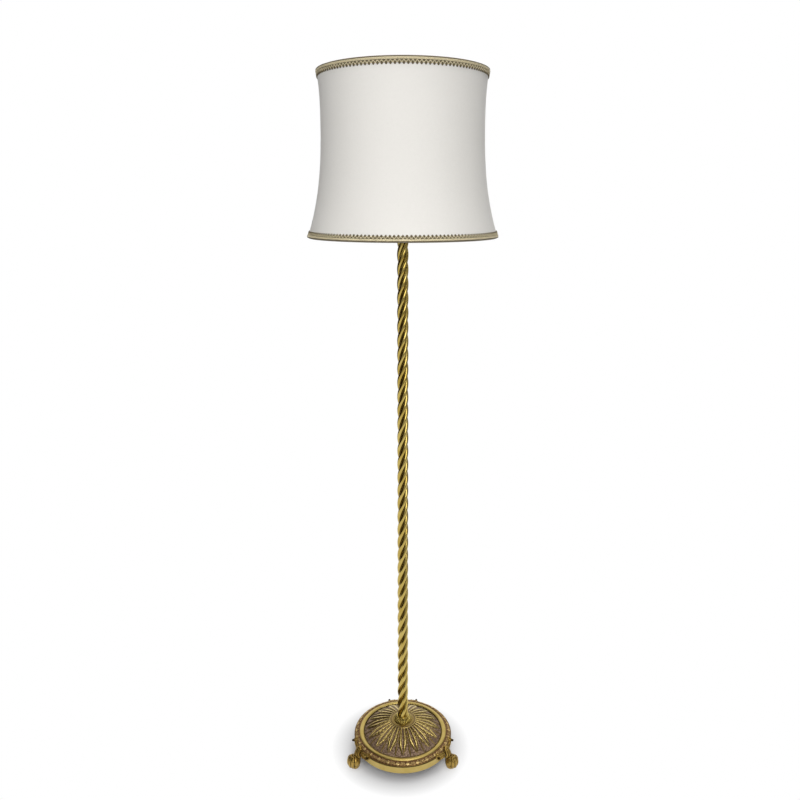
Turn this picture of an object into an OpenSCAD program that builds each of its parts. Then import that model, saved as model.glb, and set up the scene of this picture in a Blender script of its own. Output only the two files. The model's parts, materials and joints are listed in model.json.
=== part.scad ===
// Candlestick floor lamp: a rope-twist brass column on a leaf-cast round base with three
// lion-paw feet, and a waisted fabric shade on a screw lampholder.
// Millimetres. +Z is up, the floor is z = 0 and the column stands on the Z axis.
// The front of the lamp faces -Y: two paws stand to the front left and right, one behind.

/* [Heights] */
// Height of the shade's bottom edge above the floor
shade_foot_z = 1377; // [1100:1:1500]
// Height of the shade from its bottom edge to its top edge
shade_h = 380; // [340:1:420]
// Height of the fitter ring above the shade's bottom edge
fitter_rise = 90; // [70:1:120]

/* [Base casting] */
// Gap between the base and the floor, under the paws' bridge
base_clearance = 28; // [27:0.5:36]
// Widest radius of the base
rim_r = 130.3; // [128:0.5:140]
// Height of the polished band round the base
band_h = 21; // [19:0.5:26]
// How much the band leans in at its foot
band_draft = 2.5; // [0.5:0.1:4]
// Radius of the thin bead along the band's top edge
band_bead_r = 1.4; // [0.8:0.1:2]
// Width of the sloping frieze between the band and the ring
frieze_w = 12.2; // [10:0.2:15]
// Rise of the frieze from the band to the ring
frieze_rise = 5; // [3:0.5:8]
// How much the frieze bulges out at its middle
frieze_bow = 1; // [0.4:0.1:1.6]
// Width of the polished ring inside the frieze
ring_w = 11.5; // [9:0.5:13]
// Crown of the polished ring above the frieze
ring_crown = 2.5; // [1.5:0.1:4]
// Wall of the base casting
rim_wall = 5; // [4:0.5:6]
// Depth of the pocket that the dome drops into
pocket_depth = 6; // [5:0.5:8]
// Width of the ledge that the dome rests on
ledge_w = 6.8; // [5:0.2:9]
// Thickness of the ledge
ledge_t = 3.5; // [2.5:0.5:5]

/* [Leaf dome] */
// Rise of the dome from its edge to its flat top
dome_rise = 32; // [26:0.5:40]
// Radius of the dome's flat top, and of the collar on it
collar_r = 36; // [32:0.5:42]
// Wall of the dome casting
dome_wall = 4; // [3:0.5:5]
// Thickness of the dome's edge in its pocket
dome_edge_t = 3.5; // [3:0.5:5]
// Number of leaves round the dome
leaf_count = 16; // [12:1:18]
// Length of a leaf, measured outwards from the collar
leaf_len = 59; // [48:1:62]
// Width of a leaf across its widest lobes
leaf_w = 23; // [16:0.5:25]
// Height that a leaf stands above the ground
leaf_relief = 3.4; // [2:0.2:5]
// Width of the groove down a leaf's middle
vein_w = 1.6; // [1:0.2:2.4]

/* [Collar] */
// Thickness of the collar disc
collar_t = 4.2; // [3:0.2:6]
// Radius of the reeded seat on the collar
seat_r = 24; // [22:0.5:27]
// Height of the reeded seat
seat_h = 12.8; // [10:0.2:18]
// Number of beads round the seat
bead_count = 28; // [20:1:32]
// Radius of one bead
bead_r = 2.25; // [1.6:0.05:2.3]

/* [Paw feet] */
// Distance from the band out to the middle of a paw
paw_out = 20; // [17:0.5:26]
// Width of a paw across its toes
paw_w = 39; // [34:0.5:44]
// Radius of a toe at its tip
toe_r = 6.8; // [6:0.1:7.6]
// Height of a toe's knuckle above the floor
knuckle_z = 20; // [17:0.5:23]
// Half angle that a foot's leaf wings reach round the band
wing_deg = 20; // [16:0.5:24]
// Thickness of a wing where it leaves the knee
wing_t = 5; // [3:0.2:7]

/* [Ballast and cover plate] */
// Radius of the ballast
ballast_r = 104; // [102:0.5:106]
// Height of the ballast's underside above the base's foot
ballast_lift = 8; // [7:0.5:10]
// Gap between the ballast and the dome above it
ballast_gap = 5; // [1:0.5:8]
// Radius of the hollow round the clamping nut
nut_hollow_r = 15; // [13:0.5:18]
// Height of the hollow above the ballast's underside
nut_hollow_h = 16; // [15:0.5:20]
// Thickness of the cover plate
plate_t = 1.5; // [1:0.1:2.5]
// Distance of the cover screws from the axis
plate_screw_at = 70; // [55:1:85]
// Radius of the cover screws
plate_screw_r = 2; // [1.5:0.1:3]
// Radius of the foot screws
foot_screw_r = 2.5; // [2:0.1:3]
// Sideways distance of a foot screw from the foot's middle
foot_screw_off = 8; // [7:0.5:9]

/* [Column] */
// Outer radius over the strands
stem_r = 14; // [12.5:0.1:16]
// Radius of one strand
strand_r = 6; // [5.6:0.1:6.6]
// Number of strands in the rope
strand_count = 4; // [4:1:4]
// Height in which a strand winds once round
rope_lead = 141; // [110:1:180]
// Bore of the column
stem_bore_r = 6.2; // [5.6:0.1:6.6]
// Length of the bush in each end of the column
stem_bush_l = 18; // [12:1:30]
// Outer radius of the threaded pipe down the middle
pipe_r = 5; // [4.5:0.1:5.2]
// Bore of the threaded pipe
pipe_bore_r = 3.6; // [3:0.1:4]

/* [Lampholder] */
// Height of the neck cap between column and lampholder
neck_h = 9; // [6:0.5:14]
// Height of the lampholder's skirt
skirt_h = 26; // [24:0.5:32]
// Outer radius of the lampholder, which the shade rings screw onto
holder_r = 20; // [19.5:0.1:21]
// Wall of the lampholder's shells
holder_wall = 1.2; // [0.8:0.1:1.5]
// Length of the lampholder's body
body_h = 34; // [30:0.5:40]
// Height of the body below the fitter ring
body_below = 16; // [14:0.5:18]
// Thickness of the ceramic insert
insert_h = 15; // [12:0.5:16]
// Inner radius of the lamp screw shell
shell_r = 13.3; // [13.2:0.05:13.6]
// Height of one shade ring
shade_nut_h = 6; // [5:0.5:7]
// Outer radius of the shade rings
shade_nut_r = 27; // [25:0.5:30]
// Radius of the switch spindle
spindle_r = 2; // [1.5:0.1:2.5]
// Radius of the switch knob
knob_r = 6.5; // [5:0.5:8]
// Length of the switch knob
knob_l = 12; // [9:0.5:15]

/* [Bulb] */
// Radius of the bulb's globe
globe_r = 30; // [25:0.5:35]
// Length of the bulb from its contact to its top
bulb_l = 105; // [100:1:120]
// Length of the bulb's screw cap
bulb_cap_h = 23; // [22:0.5:25]
// Radius over the screw cap's thread
bulb_cap_r = 13.1; // [12.9:0.05:13.15]
// Thickness of the bulb's glass
glass_t = 0.8; // [0.5:0.1:1.2]

/* [Shade] */
// Radius of the cover at the bottom edge
shade_bottom_r = 226; // [205:1:245]
// Radius of the cover at the top edge
shade_top_r = 199; // [194:1:215]
// Radius of the cover at its waist
shade_waist_r = 191.5; // [180:0.5:193]
// Height of the waist above the bottom edge
shade_waist_z = 262; // [230:1:280]
// How late the cover flares away from the waist: 2 is even, 3 keeps close to the ends
shade_flare = 2.5; // [2:0.1:3]
// Thickness of the cover cloth with its backing
cover_t = 0.8; // [0.5:0.1:1.2]
// Thickness of the lining
lining_t = 0.5; // [0.4:0.1:1]
// Radius of the frame wire
wire_r = 2; // [1.5:0.1:2.5]
// Number of upright struts in the shade frame
strut_count = 8; // [6:1:12]
// Depth and width of a strut
strut_w = 2.4; // [1.6:0.2:3]
// Width of the braid at the top and bottom edges
braid_w = 15; // [10:0.5:20]
// Thickness of the braid
braid_t = 1.6; // [1:0.1:2.5]
// Width of the flat fitter ring
fitter_w = 6; // [4:0.5:6.5]
// Thickness of the flat fitter ring
fitter_t = 2; // [1.5:0.1:3]

/* [Wiring] */
// Bore of the cord gland
gland_bore_r = 3.75; // [3:0.05:4]
// Radius of the gland's barrel
gland_r = 5; // [4.6:0.1:5.5]
// Radius of the gland's flange
gland_flange_r = 7; // [6.5:0.1:7.5]
// Radius of the bundle of wires inside the lamp
lead_r = 2; // [1.5:0.1:2.2]
// Bend radius of the wires under the pipe
lead_bend_r = 9; // [8:0.5:10]

/* [Fits] */
// Radial clearance of a part that turns on another
run_fit = 0.06; // [0.03:0.01:0.1]
// Radial clearance of a part that is fixed in another
seat_fit = 0.03; // [0.02:0.01:0.1]
// Gap between the flat faces of parts that turn against each other
face_gap = 0.1; // [0.05:0.01:0.3]
// Gap between cloth and what it lies on
cloth_gap = 0.15; // [0.1:0.01:0.3]

/* [Hidden] */

$fn = 96;
eps = 0.01;
cut = 60;                       // how far a cutting shape runs past what it cuts

// Levels of the base
base_z = base_clearance;
band_top_z = base_z + band_h;
frieze_top_z = band_top_z + frieze_rise;
ledge_top_z = frieze_top_z - pocket_depth;
ledge_foot_z = ledge_top_z - ledge_t;
dome_edge_z = ledge_top_z + dome_edge_t;
dome_top_z = dome_edge_z + dome_rise;
collar_top_z = dome_top_z + collar_t;
stem_foot_z = collar_top_z + seat_h;

// Radii of the base
band_top_r = rim_r - band_bead_r / 2;
band_foot_r = rim_r - band_draft;
rim_inner_r = band_foot_r - rim_wall;
frieze_outer_r = rim_r - 1.8;
ring_outer_r = frieze_outer_r - frieze_w;
ring_inner_r = ring_outer_r - ring_w;
ledge_inner_r = ring_inner_r - ledge_w;
dome_edge_r = ring_inner_r - 4 * seat_fit;
pipe_hole_r = pipe_r + seat_fit;

// The dome is part of a sphere through its edge and the rim of its flat top
dome_centre_z = (collar_r * collar_r + dome_top_z * dome_top_z
    - dome_edge_r * dome_edge_r - dome_edge_z * dome_edge_z) / (2 * (dome_top_z - dome_edge_z));
dome_sphere_r = sqrt(collar_r * collar_r + pow(dome_top_z - dome_centre_z, 2));

// Levels of the ballast, cover plate and clamping nut
ballast_z = base_z + ballast_lift;
plate_z = base_z + 0.5;
plate_top_z = plate_z + plate_t;
hollow_top_z = ballast_z + nut_hollow_h;
washer_t = 1.5;
pipe_nut_h = 5.5;
pipe_nut_z = hollow_top_z - washer_t - pipe_nut_h;
pipe_foot_z = pipe_nut_z - 1.2;

// Levels of the lampholder and the bulb
fitter_z = shade_foot_z + fitter_rise;
stem_top_z = fitter_z - body_below - skirt_h - neck_h;
neck_top_z = stem_top_z + neck_h;
skirt_top_z = neck_top_z + skirt_h;
body_top_z = skirt_top_z + body_h;
skirt_floor_t = 2;
locknut_h = 4;
pipe_top_z = neck_top_z + skirt_floor_t + locknut_h + 1.5;
insert_z = skirt_top_z - 11;
insert_top_z = insert_z + insert_h;
contact_t = 0.6;
contact_rise = 1.6;
bulb_z = insert_top_z + contact_rise + contact_t + face_gap;
tip_h = 1.6;
insulator_h = 3.4;
bulb_cap_z = bulb_z + tip_h + insulator_h;
bulb_cap_top_z = bulb_cap_z + bulb_cap_h;
globe_z = bulb_z + bulb_l - globe_r;
shade_nut_upper_z = fitter_z + fitter_t + 2 * face_gap;
barrel_r = 3.6;
barrel_in = 10;
barrel_out = holder_r + 3;
knob_in = barrel_out + face_gap;
knob_axis_z = insert_z - barrel_r - 0.6;

// Shade frame
shade_top_z = shade_foot_z + shade_h;
wire_inset = cover_t + cloth_gap + wire_r;
lining_inset = cover_t + 2 * cloth_gap + 2 * wire_r;
ring_bottom_r = inset_r(wire_r, wire_inset);
ring_top_r = inset_r(shade_h - wire_r, wire_inset);
fitter_hole_r = holder_r + run_fit;
fitter_outer_r = fitter_hole_r + fitter_w;
fitter_mid_z = fitter_z + face_gap + fitter_t / 2;
arm_r = 2;
arm_bend_r = fitter_outer_r + 6;
arm_dirs = [90, 210, 330];
strut_dir = 7.5;

// Feet and wiring round the base
FOOT_LEFT = 210;
FOOT_RIGHT = 330;
FOOT_BACK = 90;
FOOT_DIRS = [FOOT_LEFT, FOOT_RIGHT, FOOT_BACK];
paw_r = rim_r + paw_out;
foot_screw_z = base_z + band_h / 2;
screw_head_t = 2.6;
gland_dir = 150;
gland_z = (plate_top_z + ledge_foot_z) / 2;
gland_seat_r = band_foot_r - 0.3;
gland_flange_t = 3;
gland_nut_t = 4;
gland_nut_r = 7.5;
block_dir = 172;
block_l = 26;
block_w = 13;
block_h = 11;
block_r = ballast_r + 1.6 + block_w / 2;
block_screw_r = 1.5;
gland_nut_x = sqrt(pow(rim_inner_r, 2) - pow(gland_nut_r + 1.2, 2)) - gland_nut_t - seat_fit;
gland_barrel_x = gland_nut_x - 1;
earth_r = 2;
earth_dir = 190;
earth_at = 86;
lead_run_z = plate_top_z + lead_r + 0.8;
cover_screw_dirs = [30, 150, 270];

// Radius of the shade's cover at a height above its bottom edge
function shade_r(h) = shade_waist_r + (h < shade_waist_z
    ? (shade_bottom_r - shade_waist_r) * pow((shade_waist_z - h) / shade_waist_z, shade_flare)
    : (shade_top_r - shade_waist_r)
        * pow((h - shade_waist_z) / (shade_h - shade_waist_z), shade_flare));
// Slope of the cover at that height, in radius per height
function shade_slope(h) = (shade_r(min(h + 1, shade_h)) - shade_r(max(h - 1, 0)))
    / (min(h + 1, shade_h) - max(h - 1, 0));
// Radius of a surface that lies a given depth inside the cover, measured square to it
function inset_r(h, depth) = shade_r(h) - depth * sqrt(1 + pow(shade_slope(h), 2));
// Height of the dome's underside at a radius
function dome_under_z(r) = dome_centre_z + sqrt(pow(dome_sphere_r - dome_wall, 2) - r * r);
// Points of an arc
function arc(centre, r, from, to, steps) = [for (i = [0:steps])
    let (a = from + (to - from) * i / steps) centre + r * [cos(a), sin(a)]];
// Points of a line that bows out to its right by a given height at its middle
function bowed(from, to, bow, steps) = [for (i = [0:steps])
    let (t = i / steps, run = to - from) from + t * run
        + 4 * bow * t * (1 - t) * [run[1], -run[0]] / norm(run)];
// Points of a strip between two depths inside the cover, from one height to another
function shade_strip(h0, h1, outer, inner, steps) = concat(
    [for (i = [0:steps]) let (h = h0 + (h1 - h0) * i / steps) [inset_r(h, outer), h]],
    [for (i = [steps:-1:0]) let (h = h0 + (h1 - h0) * i / steps) [inset_r(h, inner), h]]);

brass = "#c79a3e";
dark_brass = "#7d6136";
steel = "#a9adb0";
iron = "#4a4a4c";
cloth = "#ebe8e1";
braid = "#b39d68";
ceramic = "#e6e2d6";

// ---- Shared shapes -------------------------------------------------------------------

// A tube or washer standing on z
module tube(z, h, outer, inner) {
    translate([0, 0, z]) difference() {
        cylinder(h = h, r = outer);
        translate([0, 0, -eps]) cylinder(h = h + 2 * eps, r = inner);
    }
}

// A hexagon nut standing on z, measured across its flats
module hex_nut(z, h, flats, hole) {
    translate([0, 0, z]) difference() {
        cylinder(h = h, r = flats / sqrt(3), $fn = 6);
        translate([0, 0, -eps]) cylinder(h = h + 2 * eps, r = hole);
    }
}

// A pan-head screw: the head stands on z = 0 downwards and the shank points up
module pan_screw(r, l, head_t = screw_head_t) {
    difference() {
        union() {
            cylinder(h = l, r = r);
            translate([0, 0, -head_t]) cylinder(h = head_t, r1 = r * 1.5, r2 = r * 1.8);
        }
        translate([-r * 1.3, -0.4, -head_t - eps]) cube([r * 2.6, 0.8, head_t / 2]);
    }
}

// Turns a shape from +Z to point outwards along a direction, at a height
module outwards(dir, z) {
    rotate([0, 0, dir]) translate([0, 0, z]) rotate([0, 90, 0]) children();
}

// ---- Base ----------------------------------------------------------------------------

// Section of the base casting: band, bead, frieze, ring, pocket and ledge
module rim_section() {
    polygon(concat(
        [[rim_inner_r, base_z], [band_foot_r, base_z], [band_top_r, band_top_z - 2 * band_bead_r]],
        arc([rim_r - band_bead_r, band_top_z - band_bead_r], band_bead_r, -60, 90, 8),
        bowed([frieze_outer_r, band_top_z], [ring_outer_r, frieze_top_z], frieze_bow, 8),
        [[ring_outer_r, frieze_top_z + ring_crown * 0.4]],
        arc([ring_outer_r - ring_w / 2, frieze_top_z + ring_crown - ring_w * 0.75],
            ring_w * 0.75, 50, 130, 8),
        [[ring_inner_r, frieze_top_z + ring_crown * 0.4], [ring_inner_r, ledge_top_z],
         [ledge_inner_r, ledge_top_z], [ledge_inner_r, ledge_foot_z],
         [rim_inner_r - 1, ledge_foot_z], [rim_inner_r, ledge_foot_z - 1]]));
}

// The outer casting, drilled for the feet and for the cord gland
module base_rim() {
    color(brass) difference() {
        rotate_extrude() rim_section();
        for (dir = FOOT_DIRS, side = [-1, 1]) rotate([0, 0, dir])
            translate([rim_inner_r - 5, side * foot_screw_off, foot_screw_z]) rotate([0, 90, 0])
                cylinder(h = 2 * rim_wall + 5, r = foot_screw_r + seat_fit);
        outwards(gland_dir, gland_z) translate([0, 0, rim_inner_r - 5])
            cylinder(h = 2 * rim_wall + 5, r = gland_r + seat_fit);
        outwards(gland_dir, gland_z) translate([0, 0, gland_seat_r])
            cylinder(h = cut, r = gland_flange_r + seat_fit);
    }
}

module dome_sphere(r) {
    translate([0, 0, dome_centre_z]) sphere(r = r, $fn = 180);
}

// Outline of one leaf lying along +X, lobed down both sides and split by its vein
module leaf_outline() {
    lobes = 4;
    steps = 4 * lobes;
    half = [for (i = [0:steps])
        let (t = i / steps,
             swell = 0.42 + 0.58 * sin(180 * pow(t, 1.35)),
             notch = 1 - 0.2 * pow(cos(180 * lobes * t), 2))
        [leaf_len * t, leaf_w / 2 * swell * notch * (t > 0.96 ? 0.35 : 1)]];
    translate([collar_r, 0]) difference() {
        polygon(concat([for (p = half) [p[0], -p[1]]], [for (i = [steps:-1:0]) half[i]]));
        translate([leaf_len * 0.12, -vein_w / 2]) square([leaf_len, vein_w]);
    }
}

// The inner casting: a domed shell with its leaves in relief
module base_dome() {
    color(dark_brass) difference() {
        union() {
            intersection() {
                dome_sphere(dome_sphere_r);
                translate([0, 0, ledge_top_z]) cylinder(h = cut, r = dome_edge_r);
            }
            intersection() {
                dome_sphere(dome_sphere_r + leaf_relief);
                for (i = [0:leaf_count - 1]) rotate([0, 0, -90 + 360 * i / leaf_count])
                    translate([0, 0, ledge_top_z]) linear_extrude(height = cut) leaf_outline();
            }
        }
        intersection() {
            dome_sphere(dome_sphere_r - dome_wall);
            cylinder(h = dome_top_z - dome_wall, r = ledge_inner_r);
        }
        translate([0, 0, dome_top_z]) cylinder(h = cut, r = collar_r + seat_fit);
        cylinder(h = cut * 2, r = pipe_hole_r);
    }
}

// The disc that covers the dome's top
module stem_collar() {
    lip = collar_t * 0.35;
    color(dark_brass) rotate_extrude() polygon(concat(
        [[pipe_hole_r, dome_top_z], [collar_r - 0.6, dome_top_z]],
        arc([collar_r - lip, dome_top_z + lip], lip, -40, 90, 6),
        arc([seat_r + 2.5, collar_top_z + 2], 2.6, 300, 240, 4),
        [[seat_r + 1, collar_top_z], [pipe_hole_r, collar_top_z]]));
}

// The seat that the column stands on, ringed with long tapered beads
module beaded_seat() {
    lip_h = 3;
    low = [seat_r - bead_r - 0.2, collar_top_z + bead_r + 0.8];
    high = [stem_r + 2.6, stem_foot_z - lip_h - 1.2];
    bead_top_r = bead_r * 0.76;
    color(brass) difference() {
        union() {
            rotate_extrude() polygon(concat(
                [[0, collar_top_z], [seat_r, collar_top_z], [seat_r, collar_top_z + 1.2],
                 [seat_r - 1, collar_top_z + 1.8], [stem_r + 2, stem_foot_z - lip_h - 0.4],
                 [stem_r + 1.4, stem_foot_z - lip_h]],
                arc([stem_r + 1.2, stem_foot_z - lip_h / 2], lip_h / 2, -80, 90, 6),
                [[0, stem_foot_z]]));
            for (i = [0:bead_count - 1]) rotate([0, 0, 360 * i / bead_count]) {
                translate([low[0], 0, low[1]]) sphere(r = bead_r, $fn = 24);
                translate([low[0], 0, low[1]]) rotate([0, atan2(high[0] - low[0], high[1] - low[1]), 0])
                    cylinder(h = norm(high - low), r1 = bead_r, r2 = bead_top_r, $fn = 24);
                translate([high[0], 0, high[1]]) sphere(r = bead_top_r, $fn = 24);
            }
        }
        translate([0, 0, collar_top_z - eps]) cylinder(h = seat_h + 2 * eps, r = pipe_hole_r);
    }
}

// ---- Feet ----------------------------------------------------------------------------

module ball(at, r) {
    translate(at) sphere(r = r, $fn = 16);
}

// One cast foot that reaches out along +X: toes, palm, leg, knee leaf and two leaf wings
module paw_foot() {
    toe_gap = (paw_w - 2 * toe_r) / 3;
    tip_r = paw_r + paw_w / 2 - toe_r - 1;
    knee_z = band_top_z - 4;
    color(brass) difference() {
        union() {
            for (i = [-1.5:1:1.5]) hull() {
                ball([paw_r - 3, i * toe_gap * 0.72, knuckle_z], toe_r);
                ball([tip_r - abs(i) * 2.2, i * toe_gap, toe_r * 0.86], toe_r);
            }
            hull() {
                ball([paw_r - 8, -6, 13], 12);
                ball([paw_r - 8, 6, 13], 12);
                ball([paw_r + 4, 0, 11], 11);
            }
            hull() {
                ball([paw_r - 8, 0, knuckle_z + 1], 9.5);
                ball([band_top_r + 3, 0, knee_z - 6], 9);
            }
            hull() {
                ball([band_top_r - 1, -foot_screw_off, knee_z - 4], 6);
                ball([band_top_r - 1, foot_screw_off, knee_z - 4], 6);
                ball([band_top_r + 2, 0, knee_z + 7], 3.6);
            }
            foot_wings(knee_z);
        }
        translate([0, 0, -cut]) cylinder(h = cut, r = 3 * rim_r, $fn = 48);
        translate([0, 0, base_z - cut]) cylinder(h = cut, r = rim_inner_r);
        band_space();
        for (side = [-1, 1]) translate([band_foot_r - 1, side * foot_screw_off, foot_screw_z])
            rotate([0, 90, 0]) cylinder(h = 9, r = foot_screw_r + seat_fit);
    }
}

// The scrolled leaf wings: lobes that shrink as they run round the band
module foot_wings(knee_z) {
    lobes = 4;
    for (side = [-1, 1], k = [0:lobes - 1])
        outwards(side * (wing_deg * (0.3 + 0.6 * k / (lobes - 1))), knee_z - 4 + 1.5 * (k % 2))
            translate([0, 0, rim_inner_r])
                cylinder(h = rim_r - rim_inner_r + wing_t * (1 - 0.14 * k), r = 8.6 - 1.3 * k);
}

// The room that the base takes up, which a foot's back is cut to
module band_space() {
    gap = seat_fit;
    rotate_extrude() polygon(concat(
        [[0, base_z - gap], [band_foot_r + gap, base_z - gap],
        [rim_r + gap, band_top_z - 2 * band_bead_r],
        [rim_r + gap, band_top_z + gap], [frieze_outer_r + gap, band_top_z + gap]],
        bowed([frieze_outer_r + gap, band_top_z + gap], [ring_outer_r, frieze_top_z + gap], frieze_bow, 8),
        [[0, frieze_top_z + gap]]));
}

module foot_left() rotate([0, 0, FOOT_LEFT]) paw_foot();
module foot_right() rotate([0, 0, FOOT_RIGHT]) paw_foot();
module foot_back() rotate([0, 0, FOOT_BACK]) paw_foot();

// Two screws from inside the base into each foot
module foot_screws() {
    seat_x = sqrt(pow(rim_inner_r, 2) - pow(foot_screw_off + foot_screw_r * 1.8, 2)) - seat_fit;
    color(steel) for (dir = FOOT_DIRS, side = [-1, 1]) rotate([0, 0, dir])
        translate([seat_x, side * foot_screw_off, foot_screw_z]) rotate([0, 90, 0])
            pan_screw(foot_screw_r, band_foot_r + 7 - seat_x);
}

// ---- Inside the base -----------------------------------------------------------------

// Cast-iron weight: clamped up under the ledge, its hub carries the dome's top
module ballast() {
    boss_r = 6;
    hub_r = collar_r - 5;
    color(iron) difference() {
        union() {
            rotate_extrude() polygon(concat(
                [[0, ballast_z], [ballast_r, ballast_z], [ballast_r, ledge_foot_z],
                 [ledge_inner_r - 1, ledge_foot_z]],
                [for (r = [ledge_inner_r - 4:-14:hub_r + 6]) [r, dome_under_z(r) - ballast_gap]],
                [[hub_r, dome_top_z - dome_wall], [0, dome_top_z - dome_wall]]));
            for (dir = cover_screw_dirs) rotate([0, 0, dir])
                translate([plate_screw_at, 0, plate_top_z])
                    cylinder(h = ballast_z - plate_top_z + 1, r = boss_r);
        }
        translate([0, 0, ballast_z - eps]) cylinder(h = nut_hollow_h + eps, r = nut_hollow_r);
        cylinder(h = cut * 2, r = pipe_hole_r);
        for (dir = cover_screw_dirs) rotate([0, 0, dir]) translate([plate_screw_at, 0, 0])
            cylinder(h = plate_top_z + 8, r = plate_screw_r + seat_fit);
        rotate([0, 0, earth_dir]) translate([earth_at, 0, 0])
            cylinder(h = ballast_z + 7, r = earth_r + seat_fit);
    }
}

// Sheet-steel cover under the base
module cover_plate() {
    color(steel) difference() {
        translate([0, 0, plate_z]) cylinder(h = plate_t, r = rim_inner_r - 0.4);
        for (dir = cover_screw_dirs) rotate([0, 0, dir])
            translate([plate_screw_at, 0, plate_z - eps])
                cylinder(h = plate_t + 2 * eps, r = plate_screw_r + seat_fit);
        rotate([0, 0, block_dir]) translate([block_r, 0, plate_z - eps])
            cylinder(h = plate_t + 2 * eps, r = block_screw_r + seat_fit);
    }
}

module cover_screws() {
    color(steel) for (dir = cover_screw_dirs) rotate([0, 0, dir])
        translate([plate_screw_at, 0, plate_z]) pan_screw(plate_screw_r, plate_t + 7, 1.8);
}

module pipe_washer() {
    color(steel) tube(hollow_top_z - washer_t, washer_t, nut_hollow_r - 2, pipe_hole_r);
}

module pipe_nut() {
    color(steel) hex_nut(pipe_nut_z, pipe_nut_h, 17, pipe_hole_r);
}

// The bush that a mains cord would come in through
module cord_gland() {
    color(brass) outwards(gland_dir, gland_z) difference() {
        union() {
            translate([0, 0, gland_seat_r]) cylinder(h = gland_flange_t, r = gland_flange_r);
            translate([0, 0, gland_barrel_x]) cylinder(h = gland_seat_r - gland_barrel_x + eps, r = gland_r);
        }
        translate([0, 0, gland_barrel_x - eps]) cylinder(h = cut, r = gland_bore_r);
    }
}

module gland_nut() {
    color(brass) outwards(gland_dir, gland_z) translate([0, 0, gland_nut_x]) difference() {
        rotate([0, 0, 30]) cylinder(h = gland_nut_t, r = gland_nut_r, $fn = 6);
        translate([0, 0, -eps]) cylinder(h = gland_nut_t + 2 * eps, r = gland_r + seat_fit);
    }
}

// Two-way terminal block on the cover plate, where the mains cord would end
module terminal_block() {
    wire_way_r = 1.6;
    color(ceramic) rotate([0, 0, block_dir]) translate([block_r, 0, plate_top_z]) difference() {
        translate([-block_w / 2, -block_l / 2, 0]) cube([block_w, block_l, block_h]);
        for (i = [-1, 1]) translate([-block_w, i * 8, block_h / 2]) rotate([0, 90, 0])
            cylinder(h = 2 * block_w, r = wire_way_r);
        for (i = [-1, 1]) translate([0, i * 8, block_h / 2]) cylinder(h = block_h, r = 1.5 + seat_fit);
        translate([0, 0, -eps]) cylinder(h = block_h / 2, r = block_screw_r + seat_fit);
    }
}

// The block's two clamping screws and the screw that holds it to the cover plate
module terminal_screws() {
    color(steel) rotate([0, 0, block_dir]) translate([block_r, 0, plate_top_z]) {
        for (i = [-1, 1]) translate([0, i * 8, block_h / 2 + 2]) cylinder(h = block_h / 2 - 2.4, r = 1.5);
        translate([0, 0, -plate_t]) pan_screw(block_screw_r, plate_t + block_h / 2 - 1, 1.4);
    }
}

// The screw that the earth wire is clamped under
module earth_screw() {
    color(brass) rotate([0, 0, earth_dir]) translate([earth_at, 0, ballast_z]) pan_screw(earth_r, 6.5, 2);
}

// The lamp's own wires: from the block, under the ballast and up the pipe to the lampholder
module inner_lead() {
    start_r = block_r - block_w / 2 - 0.2;
    turn_z = lead_run_z + lead_bend_r;
    color("#d8d2c0") rotate([0, 0, block_dir]) {
        translate([lead_bend_r, 0, lead_run_z]) rotate([0, 90, 0])
            cylinder(h = start_r - lead_bend_r, r = lead_r, $fn = 32);
        translate([lead_bend_r, 0, turn_z]) rotate([90, 0, 0]) rotate([0, 0, 180])
            rotate_extrude(angle = 90, $fn = 64) translate([lead_bend_r, 0]) circle(r = lead_r, $fn = 32);
        translate([0, 0, turn_z]) cylinder(h = insert_z - 0.2 - turn_z, r = lead_r, $fn = 32);
    }
}

// ---- Column --------------------------------------------------------------------------

// The threaded pipe that clamps base, column and lampholder together
module lamp_pipe() {
    color(steel) tube(pipe_foot_z, pipe_top_z - pipe_foot_z, pipe_r, pipe_bore_r);
}

module stem_bush_lower() {
    color(brass) tube(stem_foot_z, stem_bush_l, stem_bore_r - seat_fit, pipe_hole_r);
}

module stem_bush_upper() {
    color(brass) tube(stem_top_z - stem_bush_l, stem_bush_l, stem_bore_r - seat_fit, pipe_hole_r);
}

// Section of the rope: round strands that run into each other at narrow grooves
module rope_section() {
    centre_r = stem_r - strand_r;
    half_pitch = 180 / strand_count;
    groove_x = centre_r * cos(half_pitch);
    groove_y = centre_r * sin(half_pitch);
    groove_r = groove_x + sqrt(strand_r * strand_r - groove_y * groove_y);
    half_arc = atan2(groove_r * sin(half_pitch), groove_r * cos(half_pitch) - centre_r);
    steps = 6;
    polygon([for (k = [0:strand_count - 1], i = [0:steps - 1])
        let (a = -half_arc + 2 * half_arc * i / steps, turn = 2 * half_pitch * k,
             x = centre_r + strand_r * cos(a), y = strand_r * sin(a))
        [x * cos(turn) - y * sin(turn), x * sin(turn) + y * cos(turn)]]);
}

// The rope-twist column, right-handed
module rope_stem() {
    stem_l = stem_top_z - stem_foot_z;
    turns = stem_l / rope_lead;
    color(brass) difference() {
        translate([0, 0, stem_foot_z])
            linear_extrude(height = stem_l, twist = -360 * turns, slices = ceil(turns * 16),
                    $fn = 0, convexity = 8)
                rope_section();
        translate([0, 0, stem_foot_z - eps]) cylinder(h = stem_l + 2 * eps, r = stem_bore_r);
    }
}

// Turned cap that closes the column under the lampholder
module neck_cap() {
    lip = 1.6;
    color(brass) rotate_extrude() polygon(concat(
        [[pipe_hole_r, stem_top_z], [stem_r + 0.6, stem_top_z]],
        arc([stem_r + 0.6, stem_top_z + lip], lip, -90, 90, 8),
        arc([stem_r + 1, neck_top_z - 1.5], neck_h * 0.45, 250, 180, 5),
        [[stem_r - 3, neck_top_z], [pipe_hole_r, neck_top_z]]));
}

// ---- Lampholder ----------------------------------------------------------------------

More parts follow.
